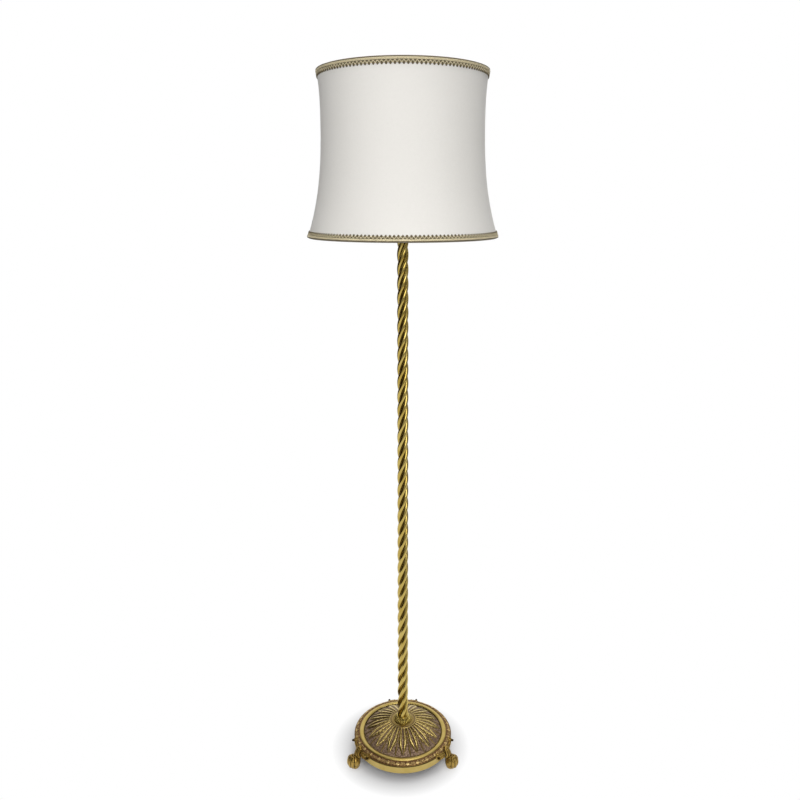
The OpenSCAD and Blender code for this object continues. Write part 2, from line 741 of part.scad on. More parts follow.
// Lower cup of the lampholder, with the hole for the switch in its side
module holder_skirt() {
    inner = holder_r - holder_wall;
    color(brass) difference() {
        rotate_extrude() polygon(concat(
            [[pipe_hole_r, neck_top_z], [stem_r - 2, neck_top_z]],
            arc([stem_r - 2, neck_top_z + 8], 8, -80, -12, 6),
            [[holder_r, neck_top_z + 9], [holder_r, skirt_top_z], [inner, skirt_top_z],
             [inner, insert_z], [inner - 2.2, insert_z - eps],
             [inner - 2.2, neck_top_z + 10], [stem_r - 2.4, neck_top_z + skirt_floor_t],
             [pipe_hole_r, neck_top_z + skirt_floor_t]]));
        outwards(0, knob_axis_z) translate([0, 0, pipe_r + 4]) cylinder(h = cut, r = barrel_r + seat_fit);
    }
}

module pipe_locknut() {
    color(steel) hex_nut(neck_top_z + skirt_floor_t, locknut_h, 14, pipe_hole_r);
}

// Ceramic body that carries the contacts
module holder_insert() {
    r = holder_r - holder_wall - seat_fit;
    color(ceramic) difference() {
        tube(insert_z, insert_h, r, 3);
        for (side = [-1, 1]) translate([0, side * 9, insert_z - eps])
            cylinder(h = insert_h + 2 * eps, r = 1.7 + seat_fit);
        translate([0, 0, insert_z - eps]) cylinder(h = 5, r = 5);
    }
}

// The two screws that hold the screw shell's foot and clamp the wires
module insert_screws() {
    color(brass) for (side = [-1, 1]) translate([0, side * 9, insert_z]) pan_screw(1.7, insert_h, 1.6);
}

// Upper shell of the lampholder, whose outside carries the shade rings
module holder_body() {
    inner = holder_r - holder_wall;
    color(brass) rotate_extrude() polygon(concat(
        [[inner, skirt_top_z], [holder_r, skirt_top_z], [holder_r, body_top_z - 1]],
        arc([holder_r - 1, body_top_z - 1], 1, 0, 90, 4),
        [[shell_r + 1.4, body_top_z], [shell_r + 1.4, body_top_z - holder_wall],
         [inner, body_top_z - holder_wall]]));
}

// The threaded shell that the bulb screws into
module screw_shell() {
    wall = 0.8;
    foot_in = 11;
    top_z = body_top_z - holder_wall - 0.4;
    color(brass) {
        tube(insert_top_z, top_z - insert_top_z, shell_r + wall, shell_r);
        tube(insert_top_z, wall, shell_r + wall, foot_in);
    }
}

// Springy brass tongue under the bulb's tip
module centre_contact() {
    w = 5;
    color(brass) translate([0, w / 2, insert_top_z]) rotate([90, 0, 0]) linear_extrude(height = w)
        polygon([[-8, 0], [-5, 0], [-2.5, contact_rise], [3, contact_rise], [3, contact_rise + contact_t],
                 [-2.9, contact_rise + contact_t], [-5.3, contact_t], [-8, contact_t]]);
}

module switch_barrel() {
    color(brass) outwards(0, knob_axis_z) difference() {
        union() {
            translate([0, 0, barrel_in]) cylinder(h = barrel_out - barrel_in, r = barrel_r);
            translate([0, 0, holder_r + 0.3]) cylinder(h = 2, r = barrel_r + 1.6);
        }
        translate([0, 0, barrel_in - eps]) cylinder(h = cut, r = spindle_r + run_fit);
    }
}

module switch_spindle() {
    color(steel) outwards(0, knob_axis_z) translate([0, 0, barrel_in - 1])
        cylinder(h = knob_in + knob_l - 3 - (barrel_in - 1), r = spindle_r);
}

// Fluted turn knob
module switch_knob() {
    flutes = 10;
    color(brass) outwards(0, knob_axis_z) translate([0, 0, knob_in]) difference() {
        rotate_extrude() polygon(concat(
            [[0, 0], [knob_r * 0.7, 0], [knob_r * 0.7, 2], [knob_r, 3.5]],
            arc([knob_r - 1.2, knob_l - 1.2], 1.2, 0, 90, 4), [[0, knob_l]]));
        for (i = [0:flutes - 1]) rotate([0, 0, 360 * i / flutes]) translate([knob_r + 0.5, 0, 3])
            cylinder(h = knob_l, r = 1, $fn = 24);
        translate([0, 0, -eps]) cylinder(h = knob_l - 3 + 2 * eps, r = spindle_r + seat_fit);
    }
}

// One knurled ring on the lampholder's thread
module shade_nut(z) {
    notches = 24;
    color(brass) difference() {
        rotate_extrude() polygon(concat(
            [[holder_r + seat_fit, z], [shade_nut_r - 1, z], [shade_nut_r, z + 1]],
            [[shade_nut_r, z + shade_nut_h - 1], [shade_nut_r - 1, z + shade_nut_h],
             [holder_r + seat_fit, z + shade_nut_h]]));
        for (i = [0:notches - 1]) rotate([0, 0, 360 * i / notches])
            translate([shade_nut_r + 0.6, 0, z - eps]) cylinder(h = shade_nut_h + 2 * eps, r = 1.2, $fn = 24);
    }
}

module shade_nut_lower() shade_nut(fitter_z - shade_nut_h);
module shade_nut_upper() shade_nut(shade_nut_upper_z);

// ---- Bulb ----------------------------------------------------------------------------

// Screw cap: rolled thread rings between a plain foot and collar
module bulb_cap() {
    pitch = 3.6;
    rings = 5;
    root_r = bulb_cap_r - 0.8;
    wall = 0.5;
    color("#c9c9c6") rotate_extrude() polygon(concat(
        [[root_r - 2.4, bulb_cap_z], [root_r, bulb_cap_z + 1.2]],
        [for (i = [0:rings - 1], p = [[0.25, 0], [0.45, 1], [0.65, 1], [0.85, 0]])
            [p[1] == 1 ? bulb_cap_r : root_r, bulb_cap_z + 1.2 + pitch * (i + p[0])]],
        [[root_r, bulb_cap_top_z], [root_r - wall, bulb_cap_top_z],
         [root_r - wall, bulb_cap_z + 1.6], [root_r - 2.4, bulb_cap_z + wall]]));
}

module bulb_insulator() {
    color("#1d1d20") translate([0, 0, bulb_z + tip_h])
        cylinder(h = insulator_h, r1 = 5.2, r2 = bulb_cap_r - 3.3);
}

module bulb_tip() {
    color("#c9c9c6") translate([0, 0, bulb_z]) cylinder(h = tip_h, r1 = 3.6, r2 = 4.8);
}

// Frosted globe: a sphere that runs into its neck on one tangent line
module bulb_globe() {
    neck_r = bulb_cap_r - 1.4;
    color("#f4f1e8") rotate_extrude() difference() {
        globe_outline(neck_r, globe_r, 0);
        globe_outline(neck_r - glass_t, globe_r - glass_t, glass_t);
    }
}

// Half outline of the globe; raise lifts the closed foot so that it keeps its thickness
module globe_outline(neck, r, raise) {
    foot_z = bulb_cap_top_z - 3 + raise;
    drop = globe_z - (bulb_cap_top_z + 4);
    tangent = -90 + asin(neck / sqrt(drop * drop + neck * neck)) + acos(r / sqrt(drop * drop + neck * neck));
    polygon(concat([[0, foot_z], [neck, foot_z], [neck, bulb_cap_top_z + 4]],
        arc([0, globe_z], r, tangent, 90, 24)));
}

// ---- Shade ---------------------------------------------------------------------------

// Flat ring on the lampholder with three arms down to the bottom wire
module shade_fitter() {
    foot = [ring_bottom_r, shade_foot_z + wire_r];
    bend = [arm_bend_r, fitter_mid_z];
    run = foot - bend;
    reach = norm(run) - wire_r - 0.15;
    lean = atan2(run[0], run[1]);
    color(steel) difference() {
        union() {
            translate([0, 0, fitter_z + face_gap]) cylinder(h = fitter_t, r = fitter_outer_r);
            for (dir = arm_dirs) rotate([0, 0, dir]) {
                translate([fitter_hole_r + 2, -arm_r, fitter_mid_z - fitter_t / 2])
                    cube([arm_bend_r - fitter_hole_r - 2, 2 * arm_r, fitter_t]);
                translate([arm_bend_r, 0, fitter_mid_z]) sphere(r = arm_r * 1.02, $fn = 32);
                translate([arm_bend_r, 0, fitter_mid_z]) rotate([0, lean, 0])
                    cylinder(h = reach, r = arm_r, $fn = 32);
            }
        }
        translate([0, 0, fitter_z - cut / 2]) cylinder(h = cut, r = fitter_hole_r);
    }
}

module wire_ring(r, z) {
    color(steel) translate([0, 0, z]) rotate_extrude($fn = 120) translate([r, 0]) circle(r = wire_r, $fn = 32);
}

module shade_ring_bottom() wire_ring(ring_bottom_r, shade_foot_z + wire_r);
module shade_ring_top() wire_ring(ring_top_r, shade_top_z - wire_r);

// Upright struts between the two wires, bent to the waisted line
module shade_struts() {
    low = 2 * wire_r + 0.1;
    high = shade_h - 2 * wire_r - 0.1;
    inset = cover_t + cloth_gap;
    color(steel) for (i = [0:strut_count - 1]) rotate([0, 0, strut_dir + 360 * i / strut_count])
        translate([0, strut_w / 2, shade_foot_z]) rotate([90, 0, 0]) linear_extrude(height = strut_w)
            polygon(shade_strip(low, high, inset, inset + strut_w, 28));
}

// The stretched cloth
module shade_cover() {
    color(cloth) translate([0, 0, shade_foot_z])
        rotate_extrude($fn = 120) polygon(shade_strip(0, shade_h, 0, cover_t, 40));
}

// The lining inside the wires, notched for the three arms
module shade_lining() {
    notch_w = 2 * arm_r + 1.4;
    color(cloth) difference() {
        translate([0, 0, shade_foot_z]) rotate_extrude($fn = 120)
            polygon(shade_strip(0.6, shade_h - 0.6, lining_inset, lining_inset + lining_t, 40));
        for (dir = arm_dirs) rotate([0, 0, dir])
            translate([ring_bottom_r - 24, -notch_w / 2, shade_foot_z - 1]) cube([40, notch_w, 2 * wire_r + 8]);
    }
}

module braid_bottom() {
    color(braid) translate([0, 0, shade_foot_z])
        rotate_extrude($fn = 120) polygon(shade_strip(0, braid_w, -braid_t, -cloth_gap, 3));
}

module braid_top() {
    color(braid) translate([0, 0, shade_foot_z])
        rotate_extrude($fn = 120) polygon(shade_strip(shade_h - braid_w, shade_h, -braid_t, -cloth_gap, 3));
}

// ---- The lamp ------------------------------------------------------------------------

base_rim();
base_dome();
stem_collar();
beaded_seat();
foot_left();
foot_right();
foot_back();
foot_screws();
ballast();
cover_plate();
cover_screws();
pipe_washer();
pipe_nut();
cord_gland();
gland_nut();
terminal_block();
terminal_screws();
earth_screw();
inner_lead();
lamp_pipe();
stem_bush_lower();
rope_stem();
stem_bush_upper();
neck_cap();
holder_skirt();
pipe_locknut();
holder_insert();
insert_screws();
holder_body();
screw_shell();
centre_contact();
switch_barrel();
switch_spindle();
switch_knob();
shade_nut_lower();
shade_nut_upper();
bulb_cap();
bulb_insulator();
bulb_tip();
bulb_globe();
shade_fitter();
shade_ring_bottom();
shade_ring_top();
shade_struts();
shade_cover();
shade_lining();
braid_bottom();
braid_top();
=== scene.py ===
"""Looks of the candlestick floor lamp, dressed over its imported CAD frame.

Everything is in metres in the frame's axes: +Z is up, the floor is z = 0, the column stands on
the Z axis and the front of the lamp faces -Y. Each sub-assembly is a class that holds its sizes
and builds its own pieces, and each finish is a class that builds one procedural material.
"""

import json
import logging
import math
from contextlib import contextmanager
from dataclasses import dataclass
from enum import Enum
from typing import Callable, Iterator, Sequence

import bmesh
import bpy
import numpy as np
from mathutils import Matrix, Vector

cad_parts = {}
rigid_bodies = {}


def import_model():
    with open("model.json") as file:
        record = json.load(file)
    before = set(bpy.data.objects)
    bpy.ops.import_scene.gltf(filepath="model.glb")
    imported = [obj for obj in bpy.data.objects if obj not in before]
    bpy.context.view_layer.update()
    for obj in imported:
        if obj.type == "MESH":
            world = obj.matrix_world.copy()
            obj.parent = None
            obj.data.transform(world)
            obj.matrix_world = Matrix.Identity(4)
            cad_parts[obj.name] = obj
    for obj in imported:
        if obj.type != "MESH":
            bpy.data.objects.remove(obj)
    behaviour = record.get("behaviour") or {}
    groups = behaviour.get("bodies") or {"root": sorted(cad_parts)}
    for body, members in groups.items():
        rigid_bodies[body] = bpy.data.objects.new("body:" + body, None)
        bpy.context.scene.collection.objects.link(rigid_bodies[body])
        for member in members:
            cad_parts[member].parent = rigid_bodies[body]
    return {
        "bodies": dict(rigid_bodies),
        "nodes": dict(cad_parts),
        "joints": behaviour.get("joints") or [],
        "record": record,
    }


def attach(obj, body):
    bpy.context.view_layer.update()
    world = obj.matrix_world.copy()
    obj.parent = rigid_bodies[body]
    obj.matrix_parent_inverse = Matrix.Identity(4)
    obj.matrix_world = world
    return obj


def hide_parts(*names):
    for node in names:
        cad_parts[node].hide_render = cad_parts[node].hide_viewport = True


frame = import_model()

log = logging.getLogger("lamp")

MM = 0.001
TURN = 2 * math.pi
Point = tuple[float, float, float]
Profile = Sequence[tuple[float, float]]
Numbers = np.ndarray


# ---- Modelling tools -------------------------------------------------------------------


class Primitive(Enum):
    """The primitives that pieces start from, by the name of their operator."""

    PLANE = "primitive_plane_add"
    CIRCLE = "primitive_circle_add"
    GRID = "primitive_grid_add"
    SPHERE = "primitive_uv_sphere_add"


def take(obj: bpy.types.Object) -> bpy.types.Object:
    """Selects one object alone and makes it active.

    Args:
        obj: The object to work on.

    Returns:
        The same object.
    """
    bpy.ops.object.select_all(action="DESELECT")
    obj.select_set(True)
    bpy.context.view_layer.objects.active = obj
    return obj


def start(kind: Primitive, name: str, **settings: object) -> bpy.types.Object:
    """Adds a primitive as a new object.

    Args:
        kind: The primitive to add.
        name: The name of the new object.
        **settings: The operator's own settings.

    Returns:
        The new object.
    """
    bpy.ops.object.select_all(action="DESELECT")
    getattr(bpy.ops.mesh, kind.value)(**settings)
    obj = bpy.context.active_object
    obj.name = obj.data.name = name
    return obj


def settle(obj: bpy.types.Object) -> bpy.types.Object:
    """Moves an object's place into its mesh, so that the object sits at the origin.

    Args:
        obj: The object, which may be placed, turned and scaled.

    Returns:
        The same object.
    """
    take(obj)
    bpy.ops.object.transform_apply(location=True, rotation=True, scale=True)
    return obj


@contextmanager
def editing(obj: bpy.types.Object) -> Iterator[bmesh.types.BMesh]:
    """Opens an object in edit mode with nothing selected, and closes it after.

    Args:
        obj: The mesh object to edit.

    Yields:
        The mesh in edit mode, for choosing what is selected.
    """
    take(obj)
    bpy.ops.object.mode_set(mode="EDIT")
    bpy.ops.mesh.select_mode(type="VERT")
    bpy.ops.mesh.select_all(action="DESELECT")
    yield bmesh.from_edit_mesh(obj.data)
    bpy.ops.object.mode_set(mode="OBJECT")


def pick(
    obj: bpy.types.Object, mesh: bmesh.types.BMesh, test: Callable[[Vector], bool]
) -> None:
    """Selects the vertices of an open mesh whose place passes a test.

    Args:
        obj: The object in edit mode.
        mesh: Its mesh, as editing() gives it.
        test: Says whether a vertex at a place is selected.
    """
    for vertex in mesh.verts:
        vertex.select_set(test(vertex.co))
    mesh.select_flush_mode()
    bmesh.update_edit_mesh(obj.data)


def modify(obj: bpy.types.Object, kind: str, **settings: object) -> bpy.types.Object:
    """Adds a modifier and applies it.

    Args:
        obj: The object to change.
        kind: The modifier's type.
        **settings: The modifier's own settings.

    Returns:
        The same object.
    """
    take(obj)
    modifier = obj.modifiers.new(kind.title(), kind)
    for key, value in settings.items():
        setattr(modifier, key, value)
    bpy.ops.object.modifier_apply(modifier=modifier.name)
    return obj


def join(name: str, parts: Sequence[bpy.types.Object]) -> bpy.types.Object:
    """Joins several objects into one.

    Args:
        name: The name of the joined object.
        parts: The objects, the first of which stays.

    Returns:
        The joined object.
    """
    take(parts[0])
    for part in parts[1:]:
        part.select_set(True)
    bpy.ops.object.join()
    parts[0].name = parts[0].data.name = name
    return parts[0]


def weld(obj: bpy.types.Object, distance: float = 0.02 * MM) -> bpy.types.Object:
    """Merges vertices that lie together and turns every face outwards.

    Args:
        obj: The mesh object.
        distance: The largest gap that is merged.

    Returns:
        The same object.
    """
    with editing(obj):
        bpy.ops.mesh.select_all(action="SELECT")
        bpy.ops.mesh.remove_doubles(threshold=distance)
        bpy.ops.mesh.normals_make_consistent(inside=False)
    return obj


def soften(obj: bpy.types.Object, crease_deg: float = 40) -> bpy.types.Object:
    """Shades an object smooth except across its sharp edges.

    Args:
        obj: The object to shade.
        crease_deg: The least turn of an edge that stays sharp, in degrees.

    Returns:
        The same object.
    """
    take(obj)
    bpy.ops.object.shade_smooth_by_angle(angle=math.radians(crease_deg))
    return obj


def turned_copy(obj: bpy.types.Object, name: str, angle: float) -> bpy.types.Object:
    """Copies an object with its own mesh, turned about the lamp's axis.

    Args:
        obj: The object to copy.
        name: The name of the copy.
        angle: The turn about +Z, in radians.

    Returns:
        The copy.
    """
    copy = obj.copy()
    copy.data = obj.data.copy()
    copy.name = copy.data.name = name
    bpy.context.scene.collection.objects.link(copy)
    copy.data.transform(Matrix.Rotation(angle, 4, "Z"))
    return copy


def repeat_round(part: bpy.types.Object, name: str, count: int) -> bpy.types.Object:
    """Repeats a part round the lamp's axis and joins the copies with it.

    Args:
        part: The first of the repeated parts.
        name: The name of the joined object.
        count: How many there are in the whole round.

    Returns:
        The joined object.
    """
    copies = [turned_copy(part, f"{name}_{k}", k * TURN / count) for k in range(1, count)]
    return join(name, [part, *copies])


def places(obj: bpy.types.Object) -> Numbers:
    """Reads the places of an object's vertices, one row each.

    Args:
        obj: The object to read.

    Returns:
        The places, in metres.
    """
    flat = np.empty(len(obj.data.vertices) * 3)
    obj.data.vertices.foreach_get("co", flat)
    return flat.reshape(-1, 3)


def move(obj: bpy.types.Object, points: Numbers) -> bpy.types.Object:
    """Sets the places of an object's vertices from one row each.

    Args:
        obj: The object to reshape.
        points: The new places, in the order of its vertices.

    Returns:
        The same object.
    """
    obj.data.vertices.foreach_set("co", points.astype(np.float32).ravel())
    obj.data.update()
    return obj


def stain_and_shade(obj: bpy.types.Object, hollow: Numbers) -> bpy.types.Object:
    """Stores how deep in a hollow each vertex lies, which the brass finishes read; on some pieces
    it carries painted shade as well as patina.

    Args:
        obj: The mesh object.
        hollow: One number for each vertex, 0 on the high points and 1 in the hollows.

    Returns:
        The same object.
    """
    attribute = obj.data.attributes.new("hollow", "FLOAT", "POINT")
    attribute.data.foreach_set("value", np.clip(hollow, 0, 1).astype(np.float32))
    return obj


def cavity(obj: bpy.types.Object, gain: float, passes: int = 3) -> Numbers:
    """Measures how concave a mesh is at each vertex.

    Args:
        obj: The mesh object.
        gain: How fast the value grows with the bend of the surface.
        passes: How many times it is averaged over neighbours.

    Returns:
        One number for each vertex, 0 on flat or raised places and up to 1 in a groove.
    """
    mesh = obj.data
    point = places(obj)
    edge = np.empty(len(mesh.edges) * 2, np.int32)
    mesh.edges.foreach_get("vertices", edge)
    a, b = edge.reshape(-1, 2).T
    normal = np.empty(len(point) * 3)
    mesh.vertices.foreach_get("normal", normal)
    normal = normal.reshape(-1, 3)
    along = point[b] - point[a]
    along /= np.maximum(np.linalg.norm(along, axis=1, keepdims=True), 1e-9)
    count = np.bincount(a, minlength=len(point)) + np.bincount(b, minlength=len(point))
    bend = np.bincount(a, (along * normal[a]).sum(1), len(point))
    bend -= np.bincount(b, (along * normal[b]).sum(1), len(point))
    value = bend / np.maximum(count, 1)
    for _ in range(passes):
        near = np.bincount(a, value[b], len(point)) + np.bincount(b, value[a], len(point))
        value = (value + near / np.maximum(count, 1)) / 2
    return np.clip(value * gain, 0, 1)


def lathe(name: str, profile: Profile, steps: int = 224) -> bpy.types.Object:
    """Turns a closed half section about the lamp's axis.

    Args:
        name: The name of the new object.
        profile: Radius and height of the section's points, in order round it.
        steps: How many steps the full turn has.

    Returns:
        The turned object, closed and smooth.
    """
    ends = [Vector((r, 0, z)) for r, z in (profile[0], profile[-1])]
    obj = start(Primitive.PLANE, name, size=MM, location=ends[0])
    settle(obj)
    with editing(obj) as mesh:
        bpy.ops.mesh.select_all(action="SELECT")
        bpy.ops.mesh.merge(type="CENTER")
        for (r0, z0), (r1, z1) in zip(profile, profile[1:]):
            bpy.ops.mesh.extrude_region_move(
                TRANSFORM_OT_translate={"value": (r1 - r0, 0, z1 - z0)}
            )
        pick(obj, mesh, lambda co: min((co - end).length for end in ends) < 1e-6)
        bpy.ops.mesh.edge_face_add()
        bpy.ops.mesh.select_all(action="SELECT")
        bpy.ops.mesh.spin(steps=steps, angle=TURN, center=(0, 0, 0), axis=(0, 0, 1))
    return soften(weld(obj), 30)


def arc(centre: tuple[float, float], radius: float, span: tuple[float, float], steps: int) -> list:
    """Lays points along an arc of a profile.

    Args:
        centre: Radius and height of the arc's centre.
        radius: The arc's own radius.
        span: Its first and last angle, in degrees.
        steps: How many steps it is divided into.

    Returns:
        The points, each as radius and height.
    """
    angles = np.radians(np.linspace(span[0], span[1], steps + 1))
    return [(centre[0] + radius * math.cos(a), centre[1] + radius * math.sin(a)) for a in angles]


def sweep(
    name: str, points: Sequence[Point], radii: Sequence[float], sides: int = 8
) -> bpy.types.Object:
    """Runs a round rod, thick or thin in places, along a line of points.

    Args:
        name: The name of the new object.
        points: The places that the rod's middle passes.
        radii: Its radius at each of them.
        sides: How many sides the rod has, an even number.

    Returns:
        The rod, as a mesh with closed ends.
    """
    bpy.ops.object.select_all(action="DESELECT")
    bpy.ops.curve.primitive_bezier_curve_add(location=(0, 0, 0))
    rod = bpy.context.active_object
    rod.name = name
    curve = rod.data
    curve.splines.clear()
    curve.dimensions = "3D"
    curve.bevel_depth = 1
    curve.bevel_resolution = sides // 2 - 2
    curve.use_fill_caps = True
    spline = curve.splines.new("POLY")
    spline.points.add(len(points) - 1)
    for held, point, radius in zip(spline.points, points, radii):
        held.co = (*point, 1)
        held.radius = radius
    bpy.ops.object.convert(target="MESH")
    return bpy.context.active_object


def map_round(obj: bpy.types.Object, radius: float) -> bpy.types.Object:
    """Gives a piece that runs round the axis a UV map in metres: along it and up it.

    Args:
        obj: The mesh object.
        radius: The radius at which the map has its true length.

    Returns:
        The same object.
    """
    mesh = obj.data
    point = places(obj)
    corner = np.empty(len(mesh.loops), np.int32)
    mesh.loops.foreach_get("vertex_index", corner)
    length = np.empty(len(mesh.polygons), np.int32)
    mesh.polygons.foreach_get("loop_total", length)
    centre = np.empty(len(mesh.polygons) * 3)
    mesh.polygons.foreach_get("center", centre)
    centre = centre.reshape(-1, 3)
    middle = np.repeat(np.arctan2(centre[:, 1], centre[:, 0]), length)
    turn = np.arctan2(point[corner, 1], point[corner, 0])
    turn = middle + (turn - middle + math.pi) % TURN - math.pi
    layer = mesh.uv_layers.new(name="cloth")
    layer.data.foreach_set(
        "uv", np.column_stack([turn * radius, point[corner, 2]]).astype(np.float32).ravel()
    )
    return obj


def ease(x: Numbers, low: float, high: float) -> Numbers:
    """Rises smoothly from 0 at low to 1 at high, or falls where low is the larger."""
    t = np.clip((x - low) / (high - low), 0, 1)
    return t * t * (3 - 2 * t)


def present(obj: bpy.types.Object, body: str, slot: str, *nodes: str) -> bpy.types.Object:
    """Puts a finished piece on its body in place of the CAD nodes that it stands for.

    Args:
        obj: The finished piece.
        body: The CAD body that it moves with.
        slot: The record's material slot for its finish; not used.
        *nodes: The CAD nodes that it replaces.

    Returns:
        The same piece.
    """
    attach(obj, body)
    if nodes:
        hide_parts(*nodes)
    log.info("%s: %d faces, on %s", obj.name, len(obj.data.polygons), body)
    return obj


# ---- Finishes --------------------------------------------------------------------------


class Board:
    """The node tree of one material, with short ways to add its usual nodes."""

    def __init__(self, name: str) -> None:
        """Starts a material with its shader and output.

        Args:
            name: The material's name.
        """
        self.material = bpy.data.materials.new(name)
        self.material.use_nodes = True
        self.tree = self.material.node_tree
        self.tree.nodes.clear()
        self.shader = self.tree.nodes.new("ShaderNodeBsdfPrincipled")
        output = self.tree.nodes.new("ShaderNodeOutputMaterial")
        self.join(self.shader.outputs["BSDF"], output.inputs["Surface"])
        self.where = self.tree.nodes.new("ShaderNodeTexCoord").outputs["Object"]

    def join(self, source: bpy.types.NodeSocket, target: bpy.types.NodeSocket) -> None:
        """Links two sockets."""
        self.tree.links.new(source, target)

    def add(self, kind: str, inputs: dict | None = None, **settings: object) -> bpy.types.Node:
        """Adds a node.

        Args:
            kind: The node's type, without its usual prefix.
            inputs: Values or sockets for its inputs, by name or index.
            **settings: The node's own settings.

        Returns:
            The new node.
        """
        node = self.tree.nodes.new("ShaderNode" + kind)
        for key, value in settings.items():
            setattr(node, key, value)
        for key, value in (inputs or {}).items():
            if isinstance(value, bpy.types.NodeSocket):
                self.join(value, node.inputs[key])
            else:
                node.inputs[key].default_value = value
        return node

    def noise(self, scale: float, detail: float = 3, rough: float = 0.55) -> bpy.types.NodeSocket:
        """Adds a noise pattern on the lamp's own coordinates.

        Args:
            scale: How many times it repeats in a metre.
            detail: How many finer layers it has.
            rough: How strong the finer layers are.

        Returns:
            The socket with a value from 0 to 1.
        """
        inputs = {"Vector": self.where, "Scale": scale, "Detail": detail, "Roughness": rough}
        return self.add("TexNoise", inputs).outputs["Fac"]

    def spread(
        self, value: bpy.types.NodeSocket, low: float, high: float, to: tuple[float, float] = (0, 1)
    ) -> bpy.types.NodeSocket:
        """Spreads a value's range over another one.

        Args:
            value: The socket with the value.
            low: The value that gives the new range's first number.
            high: The value that gives its second.
            to: The new range.

        Returns:
            The socket with the new value, kept inside the range.
        """
        inputs = {0: value, 1: low, 2: high, 3: to[0], 4: to[1]}
        return self.add("MapRange", inputs, clamp=True).outputs[0]

    def blend(
        self, share: bpy.types.NodeSocket, first: object, second: object
    ) -> bpy.types.NodeSocket:
        """Blends two colours, each a colour or a socket, by a share from 0 to 1.

        Args:
            share: How much of the second colour shows.
            first: The colour at a share of 0.
            second: The colour at a share of 1.

        Returns:
            The blended colour.
        """
        node = self.add("Mix", data_type="RGBA")
        for index, value in ((0, share), (6, first), (7, second)):
            if isinstance(value, bpy.types.NodeSocket):
                self.join(value, node.inputs[index])
            else:
                node.inputs[index].default_value = (*value, 1)
        return node.outputs[2]

    def sum(self, operation: str, *values: object) -> bpy.types.NodeSocket:
        """Does one sum on numbers or sockets, such as ADD or MULTIPLY."""
        return self.add("Math", dict(enumerate(values)), operation=operation).outputs[0]

    def wave(self, along: bpy.types.NodeSocket, length: float) -> bpy.types.NodeSocket:
        """Makes a row of round humps, each of the given length in metres."""
        turned = self.sum("SINE", self.sum("MULTIPLY", along, math.pi / length))
        return self.sum("ABSOLUTE", turned)

    def emboss(self, height: bpy.types.NodeSocket, depth: float, strength: float = 1) -> None:
        """Bumps the surface by a height pattern.

        Args:
            height: The socket with the pattern, from 0 to 1.
            depth: The pattern's full depth, in metres.
            strength: How much of it is used.
        """
        inputs = {"Height": height, "Distance": depth, "Strength": strength}
        self.join(self.add("Bump", inputs).outputs["Normal"], self.shader.inputs["Normal"])

    def set(self, **values: object) -> None:
        """Sets the shader's inputs by name, with _ for a space, to values or sockets.

        Args:
            values: The value or socket of each input, under its name.
        """
        for key, value in values.items():
            socket = self.shader.inputs[key.replace("_", " ")]
            if isinstance(value, bpy.types.NodeSocket):
                self.join(value, socket)
            else:
                socket.default_value = (*value, 1) if isinstance(value, tuple) else value


@dataclass(frozen=True)
class CastBrass:
    """Polished and lacquered brass, with brown patina left in its hollows.

    Attributes:
        name: The material's name.
        bright: The colour of the rubbed metal.
        warm: The colour where the lacquer has yellowed.
        patina: The colour of the brown in the hollows, also used for painted shade on the pearls
            and on the bead under the frieze.
        shine: The roughness of the rubbed metal.
        matted: The roughness of the hollows.
        reach: The hollow value at which the patina is half laid.
        pits: The depth of the cast grain, in metres.
    """

    name: str
    bright: tuple[float, float, float] = (0.56, 0.43, 0.128)
    warm: tuple[float, float, float] = (0.46, 0.33, 0.072)
    patina: tuple[float, float, float] = (0.032, 0.017, 0.002)
    shine: float = 0.20
    matted: float = 0.50
    reach: float = 0.5
    pits: float = 0.02 * MM

    def build(self) -> bpy.types.Material:
        """Builds the material.

        Returns:
            The finished brass.
        """
        board = Board(self.name)
        hollow = board.add("Attribute", attribute_name="hollow").outputs["Fac"]
        cloud = board.noise(38, 4)
        grain = board.noise(900, 3, 0.7)
        worn = board.sum("ADD", hollow, board.spread(grain, 0.3, 0.7, (-0.16, 0.16)))
        laid = board.spread(worn, self.reach - 0.28, self.reach + 0.28)
        metal = board.blend(board.spread(cloud, 0.38, 0.68), self.bright, self.warm)
        board.set(
            Base_Color=board.blend(laid, metal, self.patina),
            Metallic=board.spread(laid, 0, 1, (1, 0.15)),
            Specular_IOR_Level=0.08,
            Roughness=board.sum(
                "ADD",
                board.spread(laid, 0, 1, (self.shine, self.matted)),
                board.spread(board.noise(160, 2), 0.3, 0.75, (-0.03, 0.07)),
            ),
        )
        board.emboss(board.sum("ADD", grain, board.sum("MULTIPLY", cloud, 2.5)), self.pits)
        return board.material


